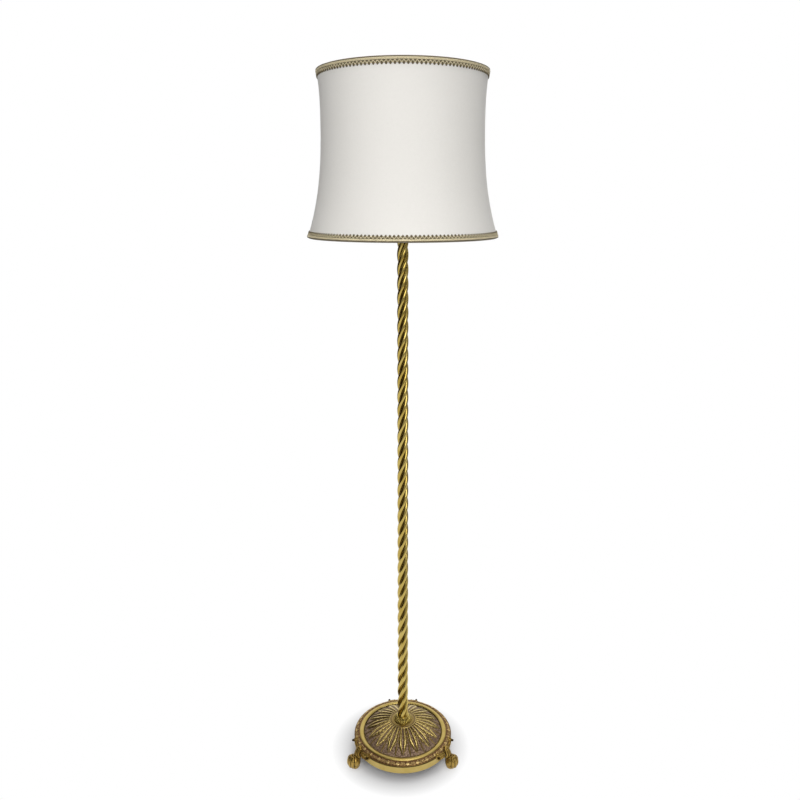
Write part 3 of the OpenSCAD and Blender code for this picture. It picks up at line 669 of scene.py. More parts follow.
@dataclass(frozen=True)
class MattedGround:
    """Carved casting: rubbed high points over a brown ground that is matted with a punch.

    Attributes:
        name: The material's name.
        bright: The colour of the rubbed high points.
        flank: The colour of the carving's sides.
        ground: The colour of the matted ground.
        speck: The colour of the ground's worn specks.
        deep: The colour of the painted shade in the narrowest lines and corners.
        shine: The roughness of the high points.
    """

    name: str
    bright: tuple[float, float, float] = (0.62, 0.475, 0.17)
    flank: tuple[float, float, float] = (0.205, 0.135, 0.038)
    ground: tuple[float, float, float] = (0.115, 0.070, 0.042)
    speck: tuple[float, float, float] = (0.42, 0.29, 0.20)
    deep: tuple[float, float, float] = (0.022, 0.012, 0.005)
    shine: float = 0.21

    def build(self) -> bpy.types.Material:
        """Builds the material.

        Returns:
            The finished ground.
        """
        board = Board(self.name)
        hollow = board.add("Attribute", attribute_name="hollow").outputs["Fac"]
        grain = board.noise(520, 4, 0.7)
        mottle = board.noise(210, 3, 0.65)
        punch = board.add("TexVoronoi", {"Vector": board.where, "Scale": 380.0}).outputs["Distance"]
        worn = board.sum("ADD", hollow, board.spread(grain, 0.3, 0.7, (-0.08, 0.08)))
        fleck = board.sum("ADD", board.sum("MULTIPLY", punch, 0.5), mottle)
        low = board.blend(board.spread(fleck, 0.62, 0.92), self.ground, self.speck)
        # painted shade: the highest hollow values, in the narrowest lines and corners, take the
        # deep colour
        low = board.blend(board.spread(hollow, 0.93, 1.0), low, self.deep)
        side = board.blend(board.spread(worn, 0.55, 0.82), self.flank, low)
        board.set(
            Base_Color=board.blend(board.spread(worn, 0.08, 0.40), self.bright, side),
            Metallic=board.spread(worn, 0.55, 0.9, (1, 0.45)),
            Specular_IOR_Level=0.3,
            Roughness=board.spread(worn, 0.10, 0.85, (self.shine, 0.58)),
        )
        pitted = board.sum("MULTIPLY", board.spread(punch, 0.0, 0.6), board.spread(worn, 0.5, 0.9))
        board.emboss(board.sum("ADD", board.sum("MULTIPLY", grain, 0.5), pitted), 0.35 * MM, 0.8)
        return board.material


@dataclass(frozen=True)
class Cloth:
    """Close plain-woven cloth, whose threads follow the piece's own UV map in metres.

    Attributes:
        name: The material's name.
        colour: The colour of the threads.
        shade: The colour between them.
        thread: The distance between threads, in metres.
        depth: The depth of the weave, in metres.
    """

    name: str
    colour: tuple[float, float, float]
    shade: tuple[float, float, float]
    thread: float = 0.45 * MM
    depth: float = 0.05 * MM

    def build(self) -> bpy.types.Material:
        """Builds the material.

        Returns:
            The finished cloth.
        """
        board = Board(self.name)
        uv = board.add("UVMap", uv_map="cloth").outputs["UV"]
        split = board.add("SeparateXYZ", {"Vector": uv})
        warp, weft = (board.wave(split.outputs[k], self.thread) for k in (0, 1))
        weave = board.sum("MULTIPLY", board.sum("ADD", warp, weft), 0.5)
        slub = board.add(
            "TexNoise", {"Vector": uv, "Scale": 140.0, "Detail": 2.0, "Roughness": 0.6}
        ).outputs["Fac"]
        tone = board.sum("MULTIPLY", weave, board.spread(slub, 0.25, 0.75, (0.8, 1.1)))
        board.set(
            Base_Color=board.blend(board.spread(tone, 0.1, 0.7), self.shade, self.colour),
            Roughness=board.spread(slub, 0.2, 0.8, (0.82, 0.95)),
            Sheen_Weight=0.15,
            Sheen_Roughness=0.5,
            Specular_IOR_Level=0.2,
        )
        board.emboss(tone, self.depth, 0.6)
        return board.material


@dataclass(frozen=True)
class Yarn:
    """Twisted gimp yarn with a metallic thread in it.

    Attributes:
        name: The material's name.
        light: The colour of the yarn's crowns.
        dark: The colour between its turns.
        gilt: How much of the metallic thread shows.
        lay: The length of one turn of its ply, in metres.
    """

    name: str
    light: tuple[float, float, float] = (0.87, 0.765, 0.51)
    dark: tuple[float, float, float] = (0.085, 0.062, 0.027)
    gilt: float = 0.2
    lay: float = 0.9 * MM

    def build(self) -> bpy.types.Material:
        """Builds the material.

        Returns:
            The finished yarn.
        """
        board = Board(self.name)
        uv = board.add("UVMap", uv_map="cloth").outputs["UV"]
        split = board.add("SeparateXYZ", {"Vector": uv})
        ply = board.wave(board.sum("ADD", split.outputs[0], split.outputs[1]), self.lay)
        fuzz = board.noise(1500, 2, 0.7)
        tone = board.sum("ADD", board.sum("MULTIPLY", ply, 0.75), board.sum("MULTIPLY", fuzz, 0.35))
        hollow = board.add("Attribute", attribute_name="hollow").outputs["Fac"]
        crown = board.sum("MULTIPLY", tone, board.spread(hollow, 0, 1, (1, 0.2)))
        board.set(
            Base_Color=board.blend(board.spread(crown, 0.12, 0.68), self.dark, self.light),
            Metallic=board.spread(crown, 0.5, 1.0, (0.05, self.gilt)),
            Roughness=board.spread(fuzz, 0.3, 0.7, (0.42, 0.62)),
            Specular_IOR_Level=0.3,
        )
        board.emboss(tone, 0.18 * MM, 0.8)
        return board.material


@dataclass(frozen=True)
class Plain:
    """A finish with one main colour, mottled and grained: plating, paint, glaze or plastic.

    Attributes:
        name: The material's name.
        colour: The main colour.
        mottle: The colour that it wanders to.
        rough: The lowest and highest roughness.
        metallic: 1 for bare metal and 0 for the rest.
        grain_scale: How many times the grain repeats in a metre.
        grain: The depth of the grain, in metres.
        coat: How much clear coat lies over it.
        glow: How far light goes through it, from 0 to 1.
    """

    name: str
    colour: tuple[float, float, float]
    mottle: tuple[float, float, float]
    rough: tuple[float, float] = (0.3, 0.45)
    metallic: float = 0.0
    grain_scale: float = 500.0
    grain: float = 0.03 * MM
    coat: float = 0.0
    glow: float = 0.0

    def build(self) -> bpy.types.Material:
        """Builds the material.

        Returns:
            The finished material.
        """
        board = Board(self.name)
        cloud = board.noise(60, 4)
        grain = board.noise(self.grain_scale, 3, 0.6)
        board.set(
            Base_Color=board.blend(board.spread(cloud, 0.35, 0.7), self.colour, self.mottle),
            Roughness=board.spread(grain, 0.3, 0.7, self.rough),
            Metallic=self.metallic,
            Coat_Weight=self.coat,
            Transmission_Weight=self.glow,
        )
        board.emboss(grain, self.grain)
        return board.material


class Finishes:
    """Every finish of the lamp, built once and given out by the record's slot."""

    def __init__(self) -> None:
        """Builds the materials."""
        self.polished = CastBrass("polished_brass", reach=0.62).build()
        self.column = CastBrass("column_brass", shine=0.15, reach=0.66, pits=0.006 * MM).build()
        self.satin = CastBrass(
            "satin_brass",
            (0.60, 0.455, 0.155),
            (0.52, 0.385, 0.105),
            shine=0.36,
            matted=0.55,
            reach=0.6,
        ).build()
        self.relief = CastBrass("relief_brass", shine=0.26, reach=0.40).build()
        self.paw = CastBrass(
            "paw_brass", (0.55, 0.375, 0.10), (0.37, 0.22, 0.045), shine=0.20, reach=0.26
        ).build()
        self.dome = MattedGround("dome_brass").build()
        self.frieze = MattedGround(
            "frieze_brass",
            (0.72, 0.54, 0.22),
            (0.33, 0.18, 0.060),
            (0.085, 0.038, 0.016),
            (0.19, 0.092, 0.042),
            shine=0.30,
        ).build()
        self.cloth = Cloth("shade_cloth", (0.82, 0.80, 0.76), (0.72, 0.70, 0.66)).build()
        self.lining = Cloth(
            "lining_cloth", (0.86, 0.85, 0.83), (0.76, 0.75, 0.72), 0.35 * MM
        ).build()
        self.gimp = Yarn("gimp_yarn").build()
        self.tape = Yarn("gimp_tape", (0.075, 0.055, 0.026), (0.035, 0.026, 0.012), 0.0).build()
        self.bound = Cloth("binding_cloth", (0.155, 0.115, 0.055), (0.08, 0.06, 0.03)).build()
        self.by_slot = {
            "polished_brass": self.polished,
            "patina_brass": self.dome,
            "shade_cloth": self.cloth,
            "lining_cloth": self.lining,
            "braid": self.gimp,
            "steel": Plain(
                "zinc_plate", (0.56, 0.57, 0.58), (0.44, 0.46, 0.50), (0.28, 0.42), 1.0
            ).build(),
            "plate_steel": Plain(
                "black_stove_paint", (0.020, 0.020, 0.021), (0.032, 0.031, 0.030), (0.38, 0.55)
            ).build(),
            "cast_iron": Plain(
                "blackened_iron",
                (0.035, 0.034, 0.034),
                (0.060, 0.050, 0.042),
                (0.55, 0.8),
                0.5,
                300.0,
                0.35 * MM,
            ).build(),
            "white_enamel": Plain(
                "white_enamel", (0.80, 0.79, 0.76), (0.74, 0.73, 0.69), (0.25, 0.4)
            ).build(),
            "ceramic": Plain(
                "glazed_ceramic", (0.78, 0.76, 0.70), (0.70, 0.67, 0.60), (0.12, 0.22), coat=0.5
            ).build(),
            "block_plastic": Plain(
                "moulded_nylon", (0.74, 0.72, 0.66), (0.68, 0.66, 0.60), (0.42, 0.55)
            ).build(),
            "frosted_glass": Plain(
                "frosted_glass", (0.90, 0.895, 0.88), (0.86, 0.855, 0.84), (0.30, 0.42), glow=0.35
            ).build(),
            "bulb_metal": Plain(
                "rolled_aluminium", (0.74, 0.74, 0.75), (0.64, 0.64, 0.65), (0.22, 0.34), 1.0
            ).build(),
            "black_glass": Plain(
                "black_insulator", (0.012, 0.012, 0.014), (0.02, 0.02, 0.02), (0.15, 0.25), coat=0.4
            ).build(),
            "wire_sleeve": Plain(
                "wire_sleeve", (0.58, 0.54, 0.44), (0.50, 0.46, 0.37), (0.5, 0.65)
            ).build(),
        }

    def dress_nodes(self, packed: dict) -> None:
        """Gives every CAD node the finish of its slot in the record.
        """
        for part in packed["record"]["subparts"]:
            node = packed["nodes"][part["node"]]
            finish = self.by_slot[part["material_slot"]]
            if not node.material_slots:
                node.data.materials.append(None)
            for held in node.material_slots:
                held.link = "OBJECT"
                held.material = finish


def dress(obj: bpy.types.Object, finish: bpy.types.Material) -> bpy.types.Object:
    """Gives a new piece its finish.

    Args:
        obj: The piece, which loses any other finish.
        finish: The finish.

    Returns:
        The same piece.
    """
    obj.data.materials.clear()
    obj.data.materials.append(finish)
    return obj


# ---- Column ----------------------------------------------------------------------------


@dataclass
class RopeColumn:
    """The rope-twist column: four round strands wound right-handed about each other.

    Attributes:
        foot: Height of the column's foot.
        top: Height of the column's top.
        strands: Number of strands.
        strand_at: Distance of a strand's middle from the axis.
        strand: Radius of a strand.
        sides: Points round a whole strand.
        kept: How far a strand's outline is kept each way from its crown, in degrees.
        lead: Height in which a strand winds once round.
        steps: Steps in one turn.
        bore: Radius of the column's bore.
        bore_sides: Points round the bore.
        groove: Radii at which the grooves' patina starts and is full.
    """

    foot: float = 100.5 * MM
    top: float = 1416 * MM
    strands: int = 4
    strand_at: float = 8 * MM
    strand: float = 6 * MM
    sides: int = 28
    kept: float = 116
    lead: float = 141 * MM
    steps: int = 44
    bore: float = 6.2 * MM
    bore_sides: int = 72
    groove: tuple[float, float] = (11.2 * MM, 8.9 * MM)

    def outline(self) -> bpy.types.Object:
        """Draws the section's outline from its strands, each cut back to where they meet.

        Returns:
            The closed outline, at the foot of the column.
        """
        place = (self.strand_at, 0, self.foot)
        strand = start(
            Primitive.CIRCLE, "strand", vertices=self.sides, radius=self.strand, location=place
        )
        settle(strand)
        limit = math.cos(math.radians(self.kept)) * self.strand + self.strand_at
        with editing(strand) as mesh:
            pick(strand, mesh, lambda co: co.x < limit)
            bpy.ops.mesh.delete(type="VERT")
        return weld(repeat_round(strand, "rope_column", self.strands), 0.05 * MM)

    def build(self, finishes: Finishes) -> bpy.types.Object:
        """Winds the outline up the column and closes its ends round the bore.

        Args:
            finishes: The lamp's finishes.

        Returns:
            The column.
        """
        rope = self.outline()
        length = self.top - self.foot
        turns = length / self.lead
        modify(
            rope,
            "SCREW",
            angle=TURN * turns,
            screw_offset=length,
            steps=round(self.steps * turns),
            render_steps=round(self.steps * turns),
            use_smooth_shade=True,
            use_merge_vertices=False,
        )
        for level in (self.foot, self.top):
            rim = start(
                Primitive.CIRCLE,
                "bore",
                vertices=self.bore_sides,
                radius=self.bore,
                location=(0, 0, level),
            )
            rope = join("rope_column", [rope, settle(rim)])
        for level in (self.foot, self.top, None):
            with editing(rope) as mesh:
                self.pick_ends(rope, mesh, level)
                bpy.ops.mesh.bridge_edge_loops()
        weld(rope)
        reach = np.hypot(*places(rope)[:, :2].T)
        stain_and_shade(rope, ease(reach, *self.groove))
        soften(rope, 50)
        return present(dress(rope, finishes.column), "stand", "polished_brass", "rope_stem")

    def pick_ends(
        self, rope: bpy.types.Object, mesh: bmesh.types.BMesh, level: float | None
    ) -> None:
        """Selects the edges that one end, or the bore where level is None, is bridged from.

        Args:
            rope: The column in edit mode.
            mesh: Its mesh.
            level: The height of the end, or None for the bore.
        """
        bpy.ops.mesh.select_mode(type="EDGE")
        for edge in mesh.edges:
            low, high = (v.co for v in edge.verts)
            inner = max(low.xy.length, high.xy.length) < self.bore + 0.01 * MM
            flat = abs(low.z - high.z) < 1e-6
            if level is None:
                edge.select_set(inner and flat)
            else:
                edge.select_set(
                    flat and abs(low.z - level) < 1e-5 and len(edge.link_faces) < 2
                )
        bmesh.update_edit_mesh(rope.data)


# ---- Base ------------------------------------------------------------------------------


@dataclass(frozen=True)
class AcanthusLeaf:
    """One leaf of the dome in relief, measured from its root at the collar.

    Attributes:
        length: From root to tip.
        fill: Share of the room between two leaves' middles that it fills.
        shoulder: Where it starts to narrow to its tip, as a share of the length.
        relief: Height of its two ridges above the ground.
        vein: Half width of the groove down its middle.
        lobes: Number of lobes down each side.
        sweep: How far a lobe leans towards the tip, as a share of the length.
    """

    length: float = 62 * MM
    fill: float = 0.98
    shoulder: float = 0.62
    relief: float = 3.2 * MM
    vein: float = 1.9 * MM
    lobes: int = 6
    sweep: float = 0.20

    def shape(self, along: Numbers, across: Numbers, room: Numbers) -> tuple[Numbers, Numbers]:
        """Gives the leaf's height above the ground and how deep in a hollow each place lies.

        Args:
            along: Distances from the root towards the tip.
            across: Distances sideways from the middle.
            room: Half the distance between two leaves' middles, at each place.

        Returns:
            The height, 0 off the leaf, and the hollow from 0 to 1.
        """
        s = np.clip(along / self.length, 0, 1.05)
        side = np.abs(across)
        broad = self.fill * np.minimum(room, 13.2 * MM)
        phase = (s - self.sweep * side / np.maximum(broad, 1e-6)) * self.lobes
        lobe = np.sqrt(np.abs(np.sin(math.pi * phase)))
        narrow = np.clip((1.01 - s) / (1.01 - self.shoulder), 0, 1) ** 0.62
        half = broad * narrow * (0.84 + 0.16 * lobe)
        w = side / np.maximum(half, 1e-6)
        edge = ease(w, 1.03, 0.90)
        middle = np.exp(-((side / np.maximum(self.vein * narrow**0.5, 1e-6)) ** 2))
        ridge = np.exp(-(np.abs((w - 0.48) / 0.27) ** 3.4))
        outer = np.exp(-(((w - 0.90) / 0.10) ** 2)) * (0.40 + 0.60 * lobe)
        web = 0.26 + 0.12 * lobe
        blade = np.maximum(np.maximum(ridge, 0.62 * outer), web) * (1 - middle)
        curl = 0.80 + 0.20 * ease(s, 0.35, 0.70) - 0.34 * ease(s, 0.80, 1.0)
        height = self.relief * edge * blade * curl
        crown = np.maximum(ridge, 0.85 * outer) * (1 - middle)
        depth = 0.66 * (1 - crown) + 0.22 * middle + 0.12 * (1 - lobe) * ease(w, 0.4, 0.8)
        return height, depth * edge + 0.90 * (1 - edge)


@dataclass
class LeafDome:
    """The dome casting with its ring of leaves over a matted ground.

    Attributes:
        centre: Height of the dome's sphere, below the floor.
        sphere: Radius of that sphere.
        inner: Radius where the dome goes under the collar.
        outer: Radius of the dome's edge in its pocket.
        seat: Height of the ledge that the edge stands on.
        leaves: Number of leaves.
        leaf: The leaf in relief.
        blade_from: Where the narrow blade between two leaves starts, as a share of the length.
        blade_width: Width of that blade.
        blade_relief: Height of that blade.
        punch: How closely the ground between the tips is punched, in radians to the metre.
        punch_high: Height of the grain that the punch leaves.
        edge_dark: Radii at which the painted shade along the dome's edge, in its pocket, starts and
            is full.
        rows: Steps of a sector along the leaf.
        columns: Steps of a sector across it.
    """

    centre: float = -83.47 * MM
    sphere: float = 170.8 * MM
    inner: float = 35.2 * MM
    outer: float = 104.5 * MM
    seat: float = 48.2 * MM
    leaves: int = 16
    leaf: AcanthusLeaf = AcanthusLeaf()
    blade_from: float = 0.62
    blade_width: float = 4.6 * MM
    blade_relief: float = 1.9 * MM
    punch: float = math.pi / (2.9 * MM)
    punch_high: float = 0.5 * MM
    edge_dark: tuple[float, float] = (102.6 * MM, 103.6 * MM)
    rows: int = 100
    columns: int = 50

    def between(self, along: Numbers, across: Numbers) -> Numbers:
        """Gives the height of the narrow blade whose middle is at across = 0.

        Args:
            along: Distances down the dome from the leaf's root.
            across: Distances from the blade's middle.

        Returns:
            The heights.
        """
        s = (along / self.leaf.length - self.blade_from) / (1.10 - self.blade_from)
        half = self.blade_width / 2 * np.sin(math.pi * np.clip(s, 0, 1)) ** 0.7
        w = np.abs(across) / np.maximum(half, 1e-6)
        return self.blade_relief * np.clip(1 - w * w, 0, 1) ** 0.6 * (s > 0)

    def sector(self) -> bpy.types.Object:
        """Models the ground, one whole leaf and half a blade each side of it.

        Returns:
            The sector, with its hollows stained.
        """
        wedge = TURN / self.leaves
        grid = start(
            Primitive.GRID,
            "leaf_dome",
            x_subdivisions=self.rows,
            y_subdivisions=self.columns,
            size=1,
        )
        flat = places(grid)
        radius = self.inner + (flat[:, 0] + 0.5) * (self.outer - self.inner)
        turn = flat[:, 1] * wedge
        along = radius - self.inner
        height, hollow = self.leaf.shape(along, radius * turn, radius * wedge / 2)
        apart = radius * (wedge / 2 - np.abs(turn))
        blade = self.between(along, apart)
        punched = np.abs(np.sin(radius * self.punch) * np.sin(radius * turn * self.punch))
        matted = (height < 0.05 * MM) * ease(along, 0.4 * self.leaf.length, 0.7 * self.leaf.length)
        hollow = np.where(blade > height, 0.9 - 0.5 * blade / self.blade_relief, hollow)
        # painted shade: the ground darkens along the dome's edge where it goes into its pocket
        hollow = hollow - 0.16 * matted * punched + 0.3 * ease(radius, *self.edge_dark)
        height = np.maximum(height, blade) + self.punch_high * matted * punched
        polar = np.arcsin(radius / self.sphere)
        reach = self.sphere + height
        points = np.column_stack(
            [
                reach * np.sin(polar) * np.cos(turn - TURN / 4),
                reach * np.sin(polar) * np.sin(turn - TURN / 4),
                self.centre + reach * np.cos(polar),
            ]
        )
        return stain_and_shade(move(grid, points), hollow)

    def build(self, finishes: Finishes) -> bpy.types.Object:
        """Repeats the sector, closes the dome's edge and lays the patina, with painted shade along
        the edge.

        Args:
            finishes: The lamp's finishes.

        Returns:
            The dome.
        """
        dome = weld(repeat_round(self.sector(), "leaf_dome", self.leaves))
        with editing(dome) as mesh:
            pick(dome, mesh, lambda co: co.xy.length > self.outer - 0.1 * MM)
            drop = self.seat - max(v.co.z for v in mesh.verts if v.select)
            bpy.ops.mesh.extrude_region_move(TRANSFORM_OT_translate={"value": (0, 0, drop)})
        self.hollow_out(dome)
        soften(dome, 60)
        return present(dress(dome, finishes.dome), "stand", "patina_brass", "base_dome")

    def hollow_out(self, dome: bpy.types.Object) -> None:
        """Closes the dome underneath with a ring, so that it reads as one casting.

        Args:
            dome: The dome, open underneath.
        """
        with editing(dome) as mesh:
            pick(dome, mesh, lambda co: co.xy.length > self.outer - 1 * MM and co.z < 50 * MM)
            bpy.ops.mesh.extrude_region_move()
            bpy.ops.transform.resize(value=(0.94, 0.94, 1))


@dataclass
class Ridge:
    """A raised line of the foliage, drawn flat on the casting.

    Attributes:
        points: Its points, along and across the moulding, in millimetres.
        width: Its half width, in millimetres.
        height: Its height, as a share of the carving's.
    """

    points: Sequence[tuple[float, float]]
    width: float
    height: float

    def rise(self, along: Numbers, across: Numbers) -> Numbers:
        """Gives the ridge's height at places on the casting.

        Args:
            along: Their distances along the moulding, in millimetres.
            across: Their distances across it, in millimetres.

        Returns:
            The heights, as shares of the carving's.
        """
        line = np.array(self.points)
        best = np.full(len(along), np.inf)
        for a, b in zip(line, line[1:]):
            run = b - a
            t = ((along - a[0]) * run[0] + (across - a[1]) * run[1]) / (run @ run)
            t = np.clip(t, 0, 1)
            gap = np.hypot(along - a[0] - t * run[0], across - a[1] - t * run[1])
            best = np.minimum(best, gap)
        return self.height * np.clip(1 - (best / self.width) ** 2, 0, 1) ** 0.6


@dataclass
class FoliateFrieze:
    """The sloping frieze, carved with palmettes between scrolls.

    Attributes:
        low: Radius and height of its outer edge.
        high: Radius and height of its inner edge.
        bow: How much it bulges at its middle.
        motifs: How many palmettes there are in the round.
        relief: Height of the carving above the ground.
        proud: Height of the ground above the line between the edges, at either edge.
        rows: Steps of a motif across the moulding.
        columns: Steps of a motif along it.
        wall: Thickness of the casting.
    """

    low: tuple[float, float] = (128.7 * MM, 48.9 * MM)
    high: tuple[float, float] = (116.2 * MM, 54.05 * MM)
    bow: float = 1.0 * MM
    motifs: int = 30
    relief: float = 1.0 * MM
    proud: float = 0.12 * MM
    rows: int = 22
    columns: int = 50
    wall: float = 0.35 * MM

    def ridges(self) -> list[Ridge]:
        """Draws one motif: a palmette of five petals and a scroll at each side.

        Returns:
            The ridges, about the middle of the motif.
        """
        petals = []
        for lean in (-66, -34, 0, 34, 66):
            a = math.radians(lean)
            reach = 8.2 - abs(lean) * 0.045
            tip = (math.sin(a) * reach, 2.6 + math.cos(a) * reach)
            petals.append(Ridge([(math.sin(a) * 1.6, 2.6 + math.cos(a) * 1.6), tip], 1.15, 1))
        scrolls = []
        for side in (-1, 1):
            line = []
            for k in range(15):
                a = math.radians(-150 + 32 * k)
                r = 4.1 * (1 - k / 17)
                line.append((side * (9.4 + r * math.cos(a)), 6.6 + r * math.sin(a)))
            scrolls.append(Ridge(line, 0.85, 0.9))
        rails = [Ridge([(-20, y), (20, y)], 0.7, 0.8) for y in (0.5, 12.9)]
        return [*petals, *scrolls, *rails, Ridge([(0, 2.4), (0.01, 2.4)], 1.5, 1)]

    def build(self, finishes: Finishes) -> bpy.types.Object:
        """Carves one motif, repeats it and stands it on the rim.

        Args:
            finishes: The lamp's finishes.

        Returns:
            The frieze.
        """
        wedge = TURN / self.motifs
        grid = start(
            Primitive.GRID,
            "foliate_frieze",
            x_subdivisions=self.rows,
            y_subdivisions=self.columns,
            size=1,
        )
        flat = places(grid)
        t = flat[:, 0] + 0.5
        turn = flat[:, 1] * wedge
        run = np.array(self.high) - np.array(self.low)
        across = t * float(np.linalg.norm(run))
        radius = self.low[0] + t * run[0]
        along = np.abs(radius * turn)
        rise = np.zeros(len(t))
        for ridge in self.ridges():
            rise = np.maximum(rise, ridge.rise(along / MM, across / MM))
        up = np.array([run[1], -run[0]]) / float(np.linalg.norm(run))
        lift = 4 * self.bow * t * (1 - t) + self.proud + self.relief * rise
        reach = radius + up[0] * lift
        level = self.low[1] + t * run[1] + up[1] * lift
        points = np.column_stack([reach * np.cos(turn), reach * np.sin(turn), level])
        stain_and_shade(move(grid, points), 0.92 * (1 - rise) + 0.08 * (np.abs(t - 0.5) > 0.44))
        frieze = weld(repeat_round(grid, "foliate_frieze", self.motifs))
        modify(frieze, "SOLIDIFY", thickness=self.wall, offset=-1)
        soften(frieze, 60)
        return present(dress(frieze, finishes.frieze), "stand", "polished_brass")


@dataclass
class BaseRim:
    """The polished outer casting, turned smooth, and the row of pearls inside its ring.

    Attributes:
        pearls: How many pearls there are.
        pearl: Radius of a pearl.
        pearl_at: Radius and height of the row.
        sides: Steps round the rim.
        pocket: Radii at which the pocket inside the ring starts to darken and is dark.
        gutter: Radii at which the gutter under the ring starts to darken and is dark.
        shelf: Radii at which the frieze's seat stops being dark, from outside inwards.
        shelf_z: Height of the frieze's foot, over which the seat is dark.
        bead_z: Heights at which the painted shade on the bead under the frieze starts and is full.
        bead_r: Radii at which it starts to darken and is dark.
    """

    pearls: int = 132
    pearl: float = 1.35 * MM
    pearl_at: tuple[float, float] = (104.2 * MM, 54.3 * MM)
    sides: int = 256
    pocket: tuple[float, float] = (105.6 * MM, 105.0 * MM)
    gutter: tuple[float, float] = (115.6 * MM, 116.2 * MM)
    shelf: tuple[float, float] = (128.3 * MM, 127.9 * MM)
    shelf_z: float = 48.9 * MM
    bead_z: tuple[float, float] = (45.7 * MM, 46.3 * MM)
    bead_r: tuple[float, float] = (128.0 * MM, 128.6 * MM)

    def profile(self) -> list[tuple[float, float]]:
        """Lists the section: band, bead, frieze seat, crowned ring, pocket and wall.

        Returns:
            Radius and height of each point, in metres.
        """
        section = [(122.8, 28.0), (127.0, 28.0), (127.8, 28.6)]
        section += [(129.5, 45.6), *arc((128.9, 47.6), 1.4, (-60, 88), 9)]
        section += [(128.5, 49.0), (122.8, 52.4), (116.6, 54.2), (116.2, 55.0)]
        section += arc((110.55, 47.88), 8.62, (49, 131), 12)
        section += [(104.8, 55.0), (104.8, 48.0), (98.0, 48.0), (98.0, 44.5), (121.8, 44.5)]
        return [(r * MM, z * MM) for r, z in section]

    def hollows(self, point: Numbers) -> Numbers:
        """Says how dark each place of the rim lies: the pocket and the frieze's seat, and painted
        shade on the bead under the frieze.

        Args:
            point: The places, one row each.

        Returns:
            One number for each place, 0 on the polished faces and 1 in the hollows.
        """
        reach, level = np.hypot(*point[:, :2].T), point[:, 2]
        inner = ease(reach, *self.pocket)
        outer = ease(reach, *self.gutter) * ease(reach, *self.shelf)
        outer = outer * (level > self.shelf_z)
        # painted shade: a dark line on the bead just under the frieze
        under = ease(level, *self.bead_z) * ease(reach, *self.bead_r)
        return np.maximum(np.maximum(inner, outer), 0.8 * under)

    def build(self, finishes: Finishes) -> list[bpy.types.Object]:
        """Turns the rim and sets the pearls in the angle between ring and dome.

        Args:
            finishes: The lamp's finishes.

        Returns:
            The rim and the pearls.
        """
        rim = dress(lathe("rim_casting", self.profile(), self.sides), finishes.satin)
        stain_and_shade(rim, self.hollows(places(rim)))
        pearl = start(
            Primitive.SPHERE,
            "pearl_row",
            segments=8,
            ring_count=5,
            radius=self.pearl,
            location=(self.pearl_at[0], 0, self.pearl_at[1]),
        )
        settle(pearl)
        row = soften(repeat_round(pearl, "pearl_row", self.pearls), 80)
        high = self.pearl_at[1] + self.pearl
        # painted shade: each pearl darkens from its top down to its middle and stays dark below
        stain_and_shade(row, 0.3 + 0.7 * ease(places(row)[:, 2], high, high - self.pearl))
        return [
            present(rim, "stand", "polished_brass", "base_rim"),
            present(dress(row, finishes.relief), "stand", "polished_brass"),
        ]


